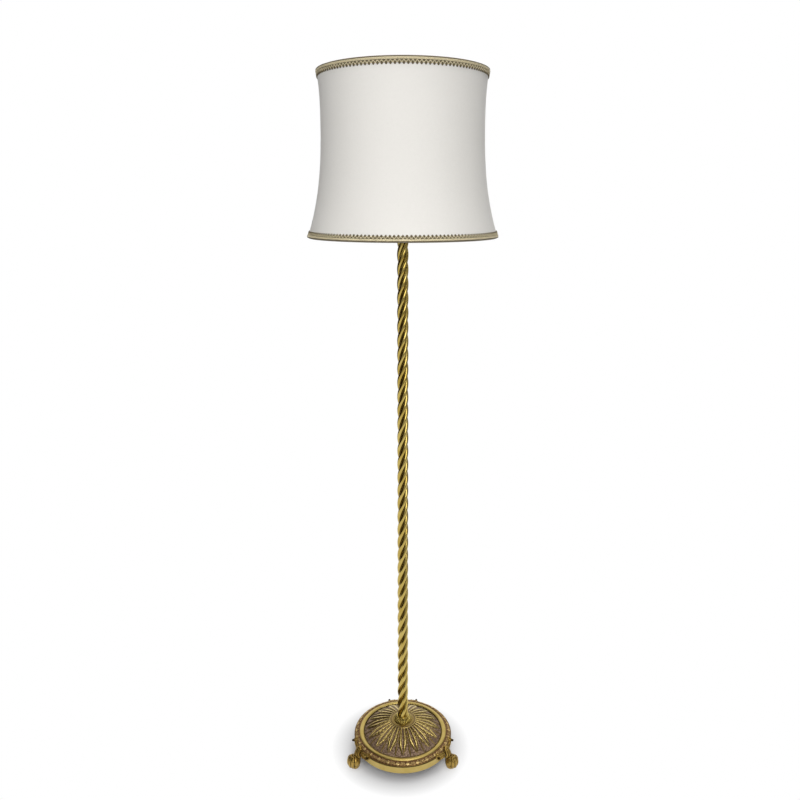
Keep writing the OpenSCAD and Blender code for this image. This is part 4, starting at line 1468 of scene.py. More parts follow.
@dataclass
class CollarAndSeat:
    """The collar disc on the dome and the reeded seat that the column stands in.

    Attributes:
        reeds: How many long beads ring the seat.
        reed_low: Radius and height of a bead's lower end.
        reed_high: Radius and height of its upper end.
        reed: Radius of a bead at its lower end.
        sides: Steps round the collar and round the seat's cone.
        reed_slim: How slim a bead is at its upper end, as a share of its lower end.
        cone_z: Heights between which the cone shows between the beads.
        groove: Radius of the collar's groove.
        lip: Radius of the collar's rubbed lip.
        bore: Radius of the hole for the pipe, in millimetres.
    """

    reeds: int = 28
    reed_low: tuple[float, float] = (22.1 * MM, 90.5 * MM)
    reed_high: tuple[float, float] = (16.6 * MM, 96.3 * MM)
    reed: float = 2.15 * MM
    sides: tuple[int, int] = (128, 112)
    reed_slim: float = 0.76
    cone_z: tuple[float, float] = (89.4 * MM, 97 * MM)
    groove: float = 32.5 * MM
    lip: float = 34.8 * MM
    bore: float = 5.03

    def collar(self, finishes: Finishes) -> bpy.types.Object:
        """Turns the collar disc, with the fine groove inside its lip.

        Args:
            finishes: The lamp's finishes.

        Returns:
            The collar.
        """
        section = [(self.bore, 83.5), (35.4, 83.5), *arc((34.5, 85.0), 1.5, (-50, 90), 8)]
        section += [(33.4, 86.5), (32.9, 85.9), (32.2, 85.9), (31.7, 86.5), (30.4, 86.9)]
        section += [(28.6, 87.2), (26.4, 87.35), (25.4, 87.7), (self.bore, 87.7)]
        disc = lathe("collar_disc", [(r * MM, z * MM) for r, z in section], self.sides[0])
        point = places(disc)
        reach = np.hypot(point[:, 0], point[:, 1])
        groove = np.exp(-(((reach - self.groove) / (1.0 * MM)) ** 2))
        # painted shade: the collar's lower edge and its face under the seat go dark
        under = ease(point[:, 2], 85.6 * MM, 84.6 * MM) + 0.4 * ease(reach, 25.6 * MM, 24.6 * MM)
        lip = np.exp(-(((reach - self.lip) / (0.9 * MM)) ** 2))
        stain_and_shade(disc, 0.34 + 0.5 * groove - 0.2 * lip + 0.6 * under)
        return present(dress(disc, finishes.dome), "stand", "patina_brass", "stem_collar")

    def seat(self, finishes: Finishes) -> bpy.types.Object:
        """Turns the seat's cone and lays the reeds on it.

        Args:
            finishes: The lamp's finishes.

        Returns:
            The seat.
        """
        section = [(self.bore, 87.7), (24.0, 87.7), (24.0, 88.7), (23.4, 89.3), (22.6, 89.6)]
        section += [(19.6, 92.4), (16.4, 96.6), (15.4, 97.4)]
        section += [*arc((15.2, 99.0), 1.5, (-80, 90), 10), (self.bore, 100.5)]
        cone = lathe("reeded_seat", [(r * MM, z * MM) for r, z in section], self.sides[1])
        low, high = (Vector((r, 0, z)) for r, z in (self.reed_low, self.reed_high))
        run = high - low
        bead = start(
            Primitive.SPHERE, "reed", segments=12, ring_count=8, radius=self.reed, location=low
        )
        settle(bead)
        point = places(bead)
        axis = np.array(run.normalized())
        along = (point - np.array(low)) @ axis
        upper = along > 1e-6
        squeeze = np.where(upper, self.reed_slim, 1.0)[:, None]
        core = np.array(low) + along[:, None] * axis
        point = core + (point - core) * squeeze + np.where(upper, run.length, 0)[:, None] * axis
        move(bead, point)
        seat = join("reeded_seat", [cone, repeat_round(bead, "reeds", self.reeds)])
        weld(seat, 0.001 * MM)
        soften(seat, 50)
        stain_and_shade(seat, cavity(seat, 2.6, 1) + 0.7 * self.sunk(places(seat)))
        return present(dress(seat, finishes.polished), "stand", "polished_brass", "beaded_seat")

    def sunk(self, point: Numbers) -> Numbers:
        """Says how near the cone between the reeds each point lies, from 0 to 1.

        Args:
            point: The points, one row each.

        Returns:
            One number for each point, 1 at the cone.
        """
        reach = np.hypot(point[:, 0], point[:, 1])
        (r0, z0), (r1, z1) = self.reed_low, self.reed_high
        slope = np.hypot(r1 - r0, z1 - z0)
        out = ((reach - r0) * (z1 - z0) - (point[:, 2] - z0) * (r1 - r0)) / slope
        inside = (point[:, 2] > self.cone_z[0]) & (point[:, 2] < self.cone_z[1])
        return ease(out, 1.4 * MM, 0.1 * MM) * inside

    def build(self, finishes: Finishes) -> list[bpy.types.Object]:
        """Builds both pieces."""
        return [self.collar(finishes), self.seat(finishes)]


# ---- Feet ------------------------------------------------------------------------------


@dataclass(frozen=True)
class Roll:
    """A roll of clay, thick or thin in places, of the kind that a casting's model is built from.

    Attributes:
        points: The places that it passes, in millimetres.
        radii: Its radius at each of them, in millimetres.
    """

    points: Sequence[Point]
    radii: Sequence[float]

    def rod(self) -> bpy.types.Object:
        """Makes the roll as a smooth rod with round ends.

        Returns:
            The rod, in metres.
        """
        knots = np.column_stack([np.array(self.points, float), np.array(self.radii, float)])
        ends = [2 * knots[0] - knots[1], *knots, 2 * knots[-1] - knots[-2]]
        rows = []
        for a, b, c, d in zip(ends, ends[1:], ends[2:], ends[3:]):
            for t in np.arange(0, 1, 0.2):
                bend = t * (c - a) + t * t * (2 * a - 5 * b + 4 * c - d)
                rows.append(b + (bend + t**3 * (3 * b - 3 * c + d - a)) / 2)
        rows.append(knots[-1])
        for end, other in ((rows[0], rows[1]), (rows[-1], rows[-2])):
            out = (end - other)[:3] / np.linalg.norm((end - other)[:3])
            cap = []
            for angle in (35, 62, 84):
                a = math.radians(angle)
                cap.append(np.append(end[:3] + out * end[3] * math.sin(a), end[3] * math.cos(a)))
            rows = [*cap[::-1], *rows] if end is rows[0] else [*rows, *cap]
        line = np.array(rows) * MM
        return sweep("roll", [tuple(row[:3]) for row in line], [float(row[3]) for row in line], 20)


@dataclass
class PawFoot:
    """A lion's paw under a leafy leg, with a scrolled leaf wing along the band each side.

    It is modelled once, reaching out along +X, in millimetres.

    Attributes:
        heart: The middle of the paw, which is nearly a ball.
        ball: Its half sizes: outwards, sideways and up.
        toe: Radius of a toe.
        splay: Angle between toes, in degrees.
        leg_line: Height, distance from the axis and radius of the leg, from its foot up.
        band: Radius of the band that the wings lie on.
        eye: Distance along the band and height of the scroll's eye.
        eye_out: How far the eye stands out from the band.
        knob: Radius of the knob on the eye.
        grain: Size of the casting's finest detail.
        turns: Name, CAD node and direction of each foot, in degrees.
    """

    heart: tuple[float, float] = (147.2, 20.2)
    ball: Point = (18.2, 18.6, 20.0)
    toe: float = 4.8
    splay: float = 32.0
    leg_line: tuple[Point, ...] = (
        (14, 139, 9.6), (26, 138.6, 10.4), (36, 134.6, 9.6), (45, 131.2, 8.8), (50, 129.6, 6.6),
    )
    band: float = 130.4
    eye: tuple[float, float] = (37.5, 46.5)
    eye_out: float = 5.6
    knob: float = 3.1
    grain: float = 0.72
    turns: tuple[tuple[str, str, float], ...] = (
        ("paw_left", "foot_left", 210),
        ("paw_right", "foot_right", 330),
        ("paw_back", "foot_back", 90),
    )

    def on_ball(self, turn: float, tilt: float, sunk: float) -> Point:
        """Places a point on the paw's ball.

        Args:
            turn: Its direction from straight outwards, in degrees.
            tilt: Its angle from straight up, in degrees.
            sunk: How far it lies inside the ball's face.

        Returns:
            The point, in millimetres.
        """
        a, b = math.radians(turn), math.radians(tilt)
        out, wide, tall = (size - sunk for size in self.ball)
        return (
            self.heart[0] + out * math.sin(b) * math.cos(a),
            wide * math.sin(b) * math.sin(a),
            self.heart[1] + tall * math.cos(b),
        )

    def toes(self) -> list[Roll]:
        """Shapes four toes that curve over the ball, each with a short claw.

        Returns:
            The rolls of the toes and the claws.
        """
        rolls = []
        for place in (-1.5, -0.5, 0.5, 1.5):
            turn = place * self.splay
            bent = [self.on_ball(turn, tilt, self.toe) for tilt in (34, 58, 84, 110, 136)]
            swell = [self.toe * share for share in (0.80, 1.0, 1.02, 1.0, 0.86)]
            rolls.append(Roll(bent, swell))
            claw = [self.on_ball(turn, 118, 1.0), self.on_ball(turn, 134, 0.9)]
            rolls.append(Roll(claw, [1.5, 1.0]))
        return rolls

    def leg(self) -> list[Roll]:
        """Shapes the pad, the heel and the leg up to the band.

        Returns:
            The rolls of the pad, the heel and the leg.
        """
        (x, z), side = self.heart, 7.2
        line = [(r, 0, level) for level, r, _ in self.leg_line]
        return [
            Roll([(x - 3, -side, z - 0.6), (x - 3, side, z - 0.6)], [11.0, 11.0]),
            Roll([(x - 2, -3.5, 12.6), (x - 2, 3.5, 12.6)], [12.2, 12.2]),
            Roll([(x - 1, -3, 22), (x - 1, 3, 22)], [13.4, 13.4]),
            Roll(line, [radius for _, _, radius in self.leg_line]),
        ]

    def on_leg(self, level: float, y: float, sunk: float = 0.5) -> Point:
        """Places a point on the front of the leg, from its height and its sideways place.

        Args:
            level: Its height, in millimetres.
            y: Its distance sideways, in millimetres.
            sunk: How far it lies inside the leg's face.

        Returns:
            The point, in millimetres.
        """
        levels, middles, radii = (np.array(column) for column in zip(*self.leg_line))
        middle = float(np.interp(level, levels, middles))
        radius = float(np.interp(level, levels, radii))
        return (middle + math.sqrt(max(radius**2 - y**2, 4.0)) - sunk, y, level)

    def knee_leaf(self) -> list[Roll]:
        """Shapes the leaf over the leg: five strips that lie side by side, and its curled top.

        Returns:
            The rolls of the leaf.
        """
        rolls = []
        for y, low in ((-8.2, 34.5), (-4.3, 31.5), (0.0, 29.5), (4.3, 31.5), (8.2, 34.5)):
            levels = np.linspace(51, low, 5)
            spread = np.linspace(0.72, 1.0, 5)
            line = [self.on_leg(float(z), y * float(k)) for z, k in zip(levels, spread)]
            rolls.append(Roll(line, [1.7, 2.2, 2.4, 2.3, 1.2]))
        curl = [(129.4, -6.5, 50.0), (130.2, 0, 51.8), (129.4, 6.5, 50.0)]
        rolls.append(Roll(curl, [1.6, 2.3, 1.6]))
        return rolls

    def on_band(self, along: float, level: float, proud: float = 0.8) -> Point:
        """Places a point on the band, from its distance along it and its height."""
        reach = self.band + proud - max(0.0, level - 48) * 1.6
        return (reach * math.cos(along / self.band), reach * math.sin(along / self.band), level)

    def wing(self, side: int) -> list[Roll]:
        """Shapes one wing: its stem, the scroll at its end with its eye, and its lobes.

        Args:
            side: Which wing, -1 or 1.

        Returns:
            The rolls of the wing.
        """
        flat = [(6, 39), (13, 41.6), (21, 44.0), (30, 47.2)]
        radii = [4.2, 3.7, 3.1, 2.5]
        for k in range(13):
            angle = math.radians(110 - 36 * k)
            reach = 5.8 * (1 - k / 17)
            along = self.eye[0] + reach * math.cos(angle)
            flat.append((along, self.eye[1] + reach * math.sin(angle)))
            radii.append(2.1 - 0.06 * k)
        rolls = [Roll([self.on_band(side * u, z) for u, z in flat], radii)]
        u, z = side * self.eye[0], self.eye[1]
        knob = [self.on_band(u, z, 1), self.on_band(u, z + 0.6, self.eye_out)]
        rolls.append(Roll(knob, [2.2, self.knob]))
        lobes = (
            ((9, 38), (12.5, 34), (17, 31.2)),
            ((17, 41), (21, 36.8), (26.5, 33.6)),
            ((26, 43.5), (30.5, 39.6), (35.5, 37.4)),
            ((10, 42), (14.5, 46.6), (20, 48.8)),
            ((19, 44), (24, 48), (29.5, 50.4)),
        )
        for lobe in lobes:
            rolls.append(Roll([self.on_band(side * u, z, 0.4) for u, z in lobe], [2.7, 2.3, 1.2]))
        return rolls

    def model(self) -> bpy.types.Object:
        """Builds the foot up from rolls, fuses them and cuts its sole flat.

        Returns:
            The foot, facing along x, with its hollows stained.
        """
        rolls = [*self.toes(), *self.leg(), *self.knee_leaf(), *self.wing(-1), *self.wing(1)]
        paw = join("paw", [roll.rod() for roll in rolls])
        modify(paw, "REMESH", mode="VOXEL", voxel_size=self.grain * MM)
        modify(paw, "SMOOTH", factor=0.5, iterations=3)
        with editing(paw):
            bpy.ops.mesh.select_all(action="SELECT")
            bpy.ops.mesh.bisect(
                plane_co=(0, 0, 0), plane_no=(0, 0, 1), use_fill=True, clear_inner=True
            )
        soften(paw, 60)
        point = places(paw) / MM
        out = np.hypot(point[:, 0], point[:, 1])
        apart = np.abs(np.arctan2(point[:, 1], point[:, 0])) * self.band
        knob = ease(np.hypot(apart - self.eye[0], point[:, 2] - self.eye[1]), 4.4, 3.4)
        knob = knob * ease(out, self.band + 2.4, self.band + 3.4)
        return stain_and_shade(paw, cavity(paw, 12.0, 3) + 0.09 + knob)

    def build(self, finishes: Finishes) -> list[bpy.types.Object]:
        """Models the foot once and sets a copy of it at each place.

        Args:
            finishes: The lamp's finishes.

        Returns:
            The three feet.
        """
        paw = dress(self.model(), finishes.paw)
        feet = []
        for name, node, turn in self.turns:
            foot = turned_copy(paw, name, math.radians(turn))
            feet.append(present(foot, "stand", "polished_brass", node))
        bpy.data.objects.remove(paw)
        return feet


# ---- Shade -----------------------------------------------------------------------------


class Edge(Enum):
    """The two edges of the shade."""

    BOTTOM = "bottom"
    TOP = "top"


@dataclass(frozen=True)
class DrumLine:
    """The waisted line of the shade, from its bottom edge up.

    Attributes:
        foot: Height of the bottom edge above the floor.
        height: Height of the shade.
        bottom: Radius at the bottom edge.
        top: Radius at the top edge.
        waist: Radius at the waist.
        waist_at: Height of the waist above the bottom edge.
        flare: How late the line leaves the waist.
    """

    foot: float = 1377 * MM
    height: float = 380 * MM
    bottom: float = 226 * MM
    top: float = 199 * MM
    waist: float = 191.5 * MM
    waist_at: float = 262 * MM
    flare: float = 2.5

    def radius(self, h: Numbers) -> Numbers:
        """Gives the cover's radius at heights above the bottom edge.

        Args:
            h: The heights.

        Returns:
            The radii.
        """
        low = np.clip((self.waist_at - h) / self.waist_at, 0, None) ** self.flare
        high = np.clip((h - self.waist_at) / (self.height - self.waist_at), 0, None) ** self.flare
        return self.waist + (self.bottom - self.waist) * low + (self.top - self.waist) * high

    def offset(self, h: Numbers, out: Numbers) -> tuple[Numbers, Numbers]:
        """Gives radius and level of points that stand off the line, square to it.

        Args:
            h: Heights above the bottom edge.
            out: Distances outwards from the cover.

        Returns:
            The radii, and the heights above the floor.
        """
        step = 0.5 * MM
        slope = (self.radius(h + step) - self.radius(h - step)) / (2 * step)
        size = np.sqrt(1 + slope**2)
        return self.radius(h) + out / size, self.foot + h - out * slope / size

    def strip(self, span: tuple[float, float], depth: tuple[float, float], steps: int) -> list:
        """Draws the closed section of a layer that follows the line.

        Args:
            span: The heights that it runs between, above the bottom edge.
            depth: How far out its outer and inner faces lie.
            steps: How many steps it has along the line.

        Returns:
            The section's points.
        """
        h = np.linspace(span[0], span[1], steps + 1)
        outer = list(zip(*self.offset(h, np.full_like(h, depth[0]))))
        inner = list(zip(*self.offset(h[::-1], np.full_like(h, depth[1]))))
        return [(float(r), float(z)) for r, z in [*outer, *inner]]


@dataclass
class DrumShade:
    """The stretched cover, the lining and the bound edges of the shade.

    Attributes:
        line: The shade's line.
        cover: Thickness of the cover cloth with its backing.
        wire: Distance from the cover's face to the middle of an edge wire.
        wire_radius: Radius of an edge wire.
        lining_in: Distance from the cover's face to the lining.
        lining: Thickness of the lining.
        bound: Thickness of the binding, and how far it stands off the wire.
        bound_at: Height of the edge wire's middle within the edge.
        sides: Steps round the shade.
        bound_sides: Steps round its binding.
    """

    line: DrumLine = DrumLine()
    cover: float = 0.8 * MM
    wire: float = 2.95 * MM
    wire_radius: float = 2.0 * MM
    lining_in: float = 5.1 * MM
    lining: float = 0.5 * MM
    bound: tuple[float, float] = (0.5 * MM, 0.25 * MM)
    bound_at: float = 2.0 * MM
    sides: int = 240
    bound_sides: int = 200

    def cut(self) -> tuple[tuple[float, float], float]:
        """Works out the cloth that the cover takes: its flat rectangle and its area.

        Returns:
            Length and width of the rectangle, and the area.
        """
        h = np.linspace(0, self.line.height, 400)
        r = self.line.radius(h)
        length = np.hypot(np.diff(h), np.diff(r))
        area = float((TURN * (r[1:] + r[:-1]) / 2 * length).sum())
        return (TURN * self.line.bottom, float(length.sum())), area

    def layer(
        self, name: str, span: tuple[float, float], depth: tuple[float, float], steps: int = 54
    ) -> bpy.types.Object:
        """Turns one layer of cloth and maps its threads."""
        cloth = lathe(name, self.line.strip(span, depth, steps), self.sides)
        return map_round(cloth, self.line.waist)

    def binding(self, edge: Edge, finishes: Finishes) -> bpy.types.Object:
        """Folds a narrow strip of cloth round the edge wire, from the cover to the lining.

        Args:
            edge: The edge that it binds.
            finishes: The lamp's finishes.

        Returns:
            The binding.
        """
        low = edge is Edge.BOTTOM
        h = self.bound_at if low else self.line.height - self.bound_at
        r, z = (float(v) for v in self.line.offset(np.array(h), np.array(-self.wire)))
        inner = self.wire_radius + self.bound[1]
        outer = inner + self.bound[0]
        span = (180, 360) if low else (0, 180)
        section = arc((r, z), outer, span, 14) + arc((r, z), inner, span[::-1], 14)
        strip = lathe(f"shade_binding_{edge.value}", section, self.bound_sides)
        map_round(strip, self.line.waist)
        return present(dress(strip, finishes.bound), "shade", "lining_cloth")

    def build(
        self, finishes: Finishes, trims: Sequence[bpy.types.Object]
    ) -> list[bpy.types.Object]:
        """Args:
            finishes: The lamp's finishes.
            trims: The gimp that is sewn to the cover; not used.

        Returns:
            The cover, the lining and the two bindings.
        """
        full = (0.0, self.line.height)
        cover = self.layer("shade_cloth", full, (0.0, -self.cover))
        inset = (0.6 * MM, self.line.height - 0.6 * MM)
        lining = self.layer("shade_inner", inset, (-self.lining_in, -self.lining_in - self.lining))
        present(dress(cover, finishes.cloth), "shade", "shade_cloth", "shade_cover")
        present(dress(lining, finishes.lining), "shade", "lining_cloth", "shade_lining")
        bindings = [self.binding(edge, finishes) for edge in Edge]
        flat, area = self.cut()
        return [cover, lining, *bindings]


@dataclass(frozen=True)
class Cord:
    """One cord of the gimp.

    Attributes:
        inward: Distance of its middle in from the shade's edge.
        radius: Its radius.
        out: How far its middle stands out from the cover.
        hollow: How dark its yarn is, from 0 to 1.
    """

    inward: float
    radius: float
    out: float
    hollow: float


@dataclass
class GimpBraid:
    """The gimp along an edge: a tape, straight cords, two waves of scroll cord and scallops.

    Attributes:
        line: The shade's line.
        edge: The edge that it is sewn to.
        pitch: Length of one repeat along the edge, nearly.
        broader: How much broader the gimp of the top edge is.
        tape: Distances in from the edge between which the tape runs.
        tape_depth: How far out the tape's outer and inner faces lie.
        rows: The straight cords, from the edge inwards.
        over: The light scroll cord.
        under: The dark scroll cord that it crosses.
        swing: How far a scroll cord swings in and out.
        loop: The cord of the scallops.
        loop_high: How far a scallop stands in from its cord's ends.
        loop_wide: Where a scallop's ends lie in the repeat, as shares of the pitch.
        sides: Steps round the shade.
    """

    line: DrumLine
    edge: Edge
    pitch: float = 9.2 * MM
    broader: float = 1.12
    tape: tuple[float, float] = (0.2 * MM, 11.2 * MM)
    tape_depth: tuple[float, float] = (0.7 * MM, 0.12 * MM)
    rows: tuple[Cord, ...] = (
        Cord(0.9 * MM, 1.1 * MM, 0.8 * MM, 0.95),
        Cord(3.0 * MM, 1.3 * MM, 1.35 * MM, 0.0),
        Cord(5.0 * MM, 1.1 * MM, 1.3 * MM, 0.1),
    )
    over: Cord = Cord(9.2 * MM, 1.1 * MM, 1.25 * MM, 0.0)
    under: Cord = Cord(9.2 * MM, 0.6 * MM, 1.25 * MM, 0.8)
    swing: float = 1.9 * MM
    loop: Cord = Cord(10.6 * MM, 1.55 * MM, 0.9 * MM, 0.97)
    loop_high: float = 3.1 * MM
    loop_wide: tuple[float, float] = (0.33, 0.67)
    sides: int = 240

    def height(self, inward: Numbers) -> Numbers:
        """Turns distances in from the edge into heights above the shade's foot.

        Args:
            inward: The distances.

        Returns:
            The heights.
        """
        if self.edge is Edge.BOTTOM:
            return inward
        return self.line.height - self.broader * inward

    def wrap(self, obj: bpy.types.Object, count: int) -> bpy.types.Object:
        """Bends a flat repeat onto the shade: x along, y in from the edge and z outwards.

        Args:
            obj: One repeat or several, drawn flat.
            count: How many repeats go round the shade.

        Returns:
            The same object.
        """
        flat = places(obj)
        radius, level = self.line.offset(self.height(flat[:, 1]), flat[:, 2])
        turn = flat[:, 0] / self.pitch * TURN / count
        return move(
            obj, np.column_stack([radius * np.cos(turn), radius * np.sin(turn), level])
        )

    def scroll(self, name: str, cord: Cord, phase: float) -> bpy.types.Object:
        """Runs one wave of scroll cord, which goes over and under the other.

        Args:
            name: The cord's name.
            cord: Its sizes and its darkness.
            phase: Where in the wave the repeat starts, in radians.

        Returns:
            One repeat of the cord, drawn flat.
        """
        points = []
        for k in range(11):
            a = TURN * k / 10
            y = cord.inward + self.swing * math.sin(a + phase)
            out = cord.out + 0.3 * MM * math.sin(2 * a + phase)
            points.append((self.pitch * k / 10, y, out))
        rod = sweep(name, points, [cord.radius] * len(points), 6)
        return stain_and_shade(rod, np.full(len(places(rod)), cord.hollow))

    def scallop(self) -> bpy.types.Object:
        """Runs one closed loop of the scalloped inner edge.

        Returns:
            The loop, drawn flat.
        """
        points = []
        first, last = self.loop_wide
        for k in range(9):
            t = k / 8
            y = self.loop.inward + self.loop_high * math.sin(math.pi * t) ** 0.75
            points.append((self.pitch * (first + (last - first) * t), y, self.loop.out))
        rod = sweep("scallop", points, [self.loop.radius] * len(points), 6)
        return stain_and_shade(rod, np.full(len(places(rod)), self.loop.hollow))

    def straight(self, cord: Cord) -> bpy.types.Object:
        """Turns one straight cord, which runs the whole way round the edge.

        Args:
            cord: Its sizes and its darkness.

        Returns:
            The cord.
        """
        h = np.array(float(self.height(np.array(cord.inward))))
        r, z = (float(v) for v in self.line.offset(h, np.array(cord.out)))
        ring = lathe("edge_cord", arc((r, z), cord.radius, (0, 330), 11), self.sides)
        return stain_and_shade(ring, np.full(len(places(ring)), cord.hollow))

    def build(self, finishes: Finishes) -> list[bpy.types.Object]:
        """Builds the braid's tape and its cords.

        Args:
            finishes: The lamp's finishes.

        Returns:
            The tape and the cords.
        """
        ends = sorted(float(v) for v in self.height(np.array(self.tape)))
        tape = lathe(
            f"gimp_tape_{self.edge.value}",
            self.line.strip((ends[0], ends[1]), self.tape_depth, 6),
            self.sides,
        )
        radius = float(self.line.radius(np.array(ends[0])))
        count = round(TURN * radius / self.pitch)
        over = self.scroll("scroll_over", self.over, math.pi / 2)
        under = self.scroll("scroll_under", self.under, -math.pi / 2)
        parts = [over, under, self.scallop()]
        repeat = self.wrap(join("gimp_repeat", parts), count)
        cords = repeat_round(repeat, f"gimp_cords_{self.edge.value}", count)
        rings = [self.straight(cord) for cord in self.rows]
        cords = join(f"gimp_cords_{self.edge.value}", [cords, *rings])
        weld(cords, 0.004 * MM)
        soften(cords, 70)
        for piece in (tape, cords):
            map_round(piece, radius)
        node = f"braid_{self.edge.value}"
        present(dress(tape, finishes.tape), "shade", "braid", node)
        present(dress(cords, finishes.gimp), "shade", "braid", node)
        return [tape, cords]


# ---- Studio ----------------------------------------------------------------------------


@dataclass
class Studio:
    """The pale floor, the soft lamps and the camera at the photograph's place.

    Attributes:
        eye: The camera's place.
        pitch: How far it looks down, in degrees.
        lens: Its focal length, in millimetres on a 36 mm sensor.
        shift: How far the frame is shifted, in frame widths.
        shadow: Distances from its middle at which the floor's shadow starts and ends fading.
        shadow_at: The middle of that shadow.
        lift: How bright the floor stays in the deepest shadow.
        ambient: How bright the room is to matt surfaces.
        lit_at: The place that the lamps face.
        wall: The direction of the lit wall, which metal mirrors.
        room: How bright the room is away from that wall, and at it.
        rise: The direction of the white backdrop behind the lamp.
        dusk: The green and the blue of the room's darkest part, with red as 1.
    """

    eye: Point = (0.0, -1.816, 1.469)
    pitch: float = 10.0
    lens: float = 33.87
    shift: tuple[float, float] = (-0.0035, -0.0868)
    shadow: tuple[float, float] = (0.12, 0.187)
    shadow_at: Point = (-0.006, 0.012, 0.0)
    lift: float = 0.06
    ambient: float = 0.075
    lit_at: Point = (0.0, 0.0, 0.9)
    wall: Point = (0.64, -0.72, 0.27)
    room: tuple[float, float] = (0.02, 0.40)
    rise: Point = (0.0, 1.0, 0.35)
    dusk: tuple[float, float] = (0.55, 0.12)

    def camera(self) -> None:
        """Sets up the camera."""
        data = bpy.data.cameras.new("camera")
        data.lens = self.lens
        data.shift_x, data.shift_y = self.shift
        camera = bpy.data.objects.new("camera", data)
        camera.location = self.eye
        camera.rotation_euler = (math.radians(90 - self.pitch), 0, 0)
        bpy.context.scene.collection.objects.link(camera)
        bpy.context.scene.camera = camera

    def lamp(
        self,
        name: str,
        place: Point,
        size: tuple[float, float],
        watts: float,
        mirrored: bool = True,
    ) -> None:
        """Hangs one soft rectangular lamp that faces the middle of the column.

        Args:
            name: The lamp's name.
            place: Where it hangs.
            size: Its width and height.
            watts: Its power.
            mirrored: Whether metal shows its reflection.
        """
        data = bpy.data.lights.new(name, "AREA")
        data.shape = "RECTANGLE"
        data.size, data.size_y = size
        data.energy = watts
        lamp = bpy.data.objects.new(name, data)
        lamp.location = place
        lamp.visible_glossy = mirrored
        facing = Vector(self.lit_at) - Vector(place)
        lamp.rotation_euler = facing.to_track_quat("-Z", "Y").to_euler()
        bpy.context.scene.collection.objects.link(lamp)

    def floor(self) -> None:
        """Lays the white floor, which keeps the lamp's shadow round the base."""
        floor = start(Primitive.CIRCLE, "floor", vertices=96, radius=2.2, fill_type="NGON")
        settle(floor)
        board = Board("floor_white")
        board.set(Base_Color=(0.80, 0.80, 0.80), Roughness=0.9, Specular_IOR_Level=0.0)
        path = board.add("LightPath")
        seen = board.sum("MAXIMUM", path.outputs["Is Camera Ray"], path.outputs["Is Glossy Ray"])
        seen = board.sum("MAXIMUM", seen, path.outputs["Is Transmission Ray"])
        apart = {0: board.where, 1: self.shadow_at}
        reach = board.add("VectorMath", apart, operation="DISTANCE").outputs["Value"]
        near = board.spread(reach, self.shadow[0], self.shadow[1])
        plain = board.add("BsdfDiffuse", {"Color": (0.62, 0.62, 0.635, 1)})
        glow = board.add("Emission", {"Color": (1, 1, 1, 1), "Strength": self.lift})
        lit = board.add("AddShader", {0: plain.outputs[0], 1: glow.outputs[0]})
        white = board.add("Emission", {"Color": (1, 1, 1, 1), "Strength": 1.0})
        shown = board.add("MixShader", {0: near, 1: lit.outputs[0], 2: white.outputs[0]})
        mixed = board.add("MixShader", {0: seen, 1: board.shader.outputs[0], 2: shown.outputs[0]})
        output = next(n for n in board.tree.nodes if n.type == "OUTPUT_MATERIAL")
        board.join(mixed.outputs[0], output.inputs["Surface"])
        dress(floor, board.material)

    def world(self) -> None:
        """Makes the surroundings: white behind the lamp, and a dim room that a wall lights."""
        world = bpy.data.worlds.new("studio")
        world.use_nodes = True
        bpy.context.scene.world = world
        tree = world.node_tree
        tree.nodes.clear()

        def add(kind: str, inputs: dict, **settings: object) -> bpy.types.NodeSocket:
            """Adds a node to the world and gives its first output.

            Args:
                kind: The node's kind, without ShaderNode.
                inputs: Values or sockets, under the index or name of each input.
                settings: The node's own settings.

            Returns:
                Its first output.
            """
            node = tree.nodes.new("ShaderNode" + kind)
            for key, value in settings.items():
                setattr(node, key, value)
            for key, value in inputs.items():
                if isinstance(value, bpy.types.NodeSocket):
                    tree.links.new(value, node.inputs[key])
                else:
                    node.inputs[key].default_value = value
            return node.outputs[0]

        path = tree.nodes.new("ShaderNodeLightPath").outputs
        towards = tree.nodes.new("ShaderNodeTexCoord").outputs["Generated"]

        def facing(way: Point) -> bpy.types.NodeSocket:
            """Says how nearly a direction faces a way.

            Args:
                way: The way, which need not be of unit length.

            Returns:
                Their dot product.
            """
            node = tree.nodes.new("ShaderNodeVectorMath")
            node.operation = "DOT_PRODUCT"
            tree.links.new(towards, node.inputs[0])
            node.inputs[1].default_value = way
            return node.outputs["Value"]

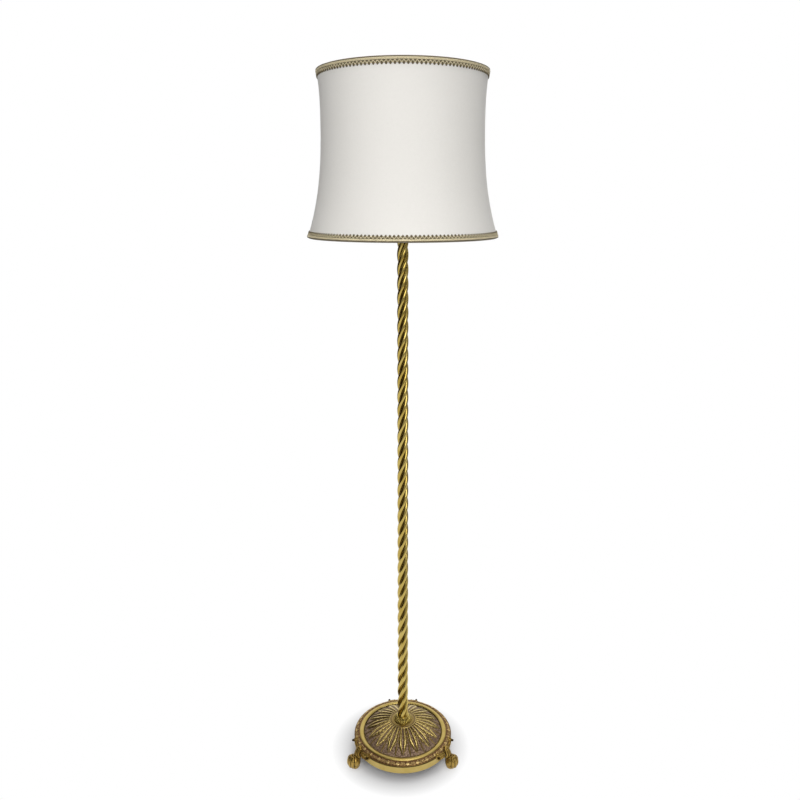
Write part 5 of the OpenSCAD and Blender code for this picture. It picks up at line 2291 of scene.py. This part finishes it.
        glossy = path["Is Glossy Ray"]
        dark, bright = self.room
        room = add("MapRange", {0: facing(self.wall), 1: 0.02, 2: 0.60, 3: dark, 4: bright})
        backdrop = add("MapRange", {0: facing(self.rise), 1: 0.55, 2: 0.85, 3: 0.0, 4: 1.0})
        mirrored = add("Math", {0: room, 1: backdrop}, operation="MAXIMUM")
        soft = add("Mix", {0: glossy, 2: self.ambient, 3: mirrored}, data_type="FLOAT")
        seen = add(
            "Math", {0: path["Is Camera Ray"], 1: path["Is Transmission Ray"]}, operation="MAXIMUM"
        )
        final = add("Mix", {0: seen, 2: soft, 3: 1.0}, data_type="FLOAT")
        warmth = add("MapRange", {0: mirrored, 1: dark, 2: 0.25, 3: 0.0, 4: 1.0})
        plain = add("Mix", {0: glossy, 2: 1.0, 3: warmth}, data_type="FLOAT")
        green, blue = (add("MapRange", {0: plain, 3: share, 4: 1.0}) for share in self.dusk)
        tint = add("CombineColor", {0: 1.0, 1: green, 2: blue})
        light = add("Background", {"Color": tint, "Strength": final})
        tree.links.new(light, tree.nodes.new("ShaderNodeOutputWorld").inputs["Surface"])

    def build(self) -> None:
        """Sets up the whole studio."""
        self.camera()
        self.floor()
        self.world()
        self.lamp("key_softbox", (0.80, -2.3, 1.6), (1.3, 1.1), 15)
        self.lamp("front_fill", (0.10, -2.4, 2.2), (1.6, 1.4), 28, mirrored=False)
        self.lamp("left_fill", (-1.9, -1.5, 2.0), (1.0, 1.2), 13, mirrored=False)
        self.lamp("back_fill", (0.5, 2.5, 1.9), (1.8, 1.5), 46, mirrored=False)
        self.lamp("rim_softbox_left", (-2.1, 1.5, 1.9), (0.5, 1.5), 4, mirrored=False)
        self.lamp("rim_softbox_right", (2.1, 1.5, 1.9), (0.5, 1.5), 1.5)
        self.lamp("top_softbox", (0.25, -0.2, 3.3), (1.6, 1.3), 25)
        bpy.context.scene.view_settings.view_transform = "Standard"


# ---- The lamp --------------------------------------------------------------------------


def main() -> None:
    """Dresses the frame, builds every piece and sets up the studio."""
    logging.basicConfig(level=logging.INFO, format="%(name)s: %(message)s")
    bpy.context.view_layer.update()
    finishes = Finishes()
    finishes.dress_nodes(frame)
    Studio().build()
    RopeColumn().build(finishes)
    BaseRim().build(finishes)
    LeafDome().build(finishes)
    FoliateFrieze().build(finishes)
    CollarAndSeat().build(finishes)
    PawFoot().build(finishes)
    shade = DrumShade()
    gimps = [GimpBraid(shade.line, edge).build(finishes) for edge in Edge]
    shade.build(finishes, [piece for gimp in gimps for piece in gimp])


if __name__ == "__main__":
    main()
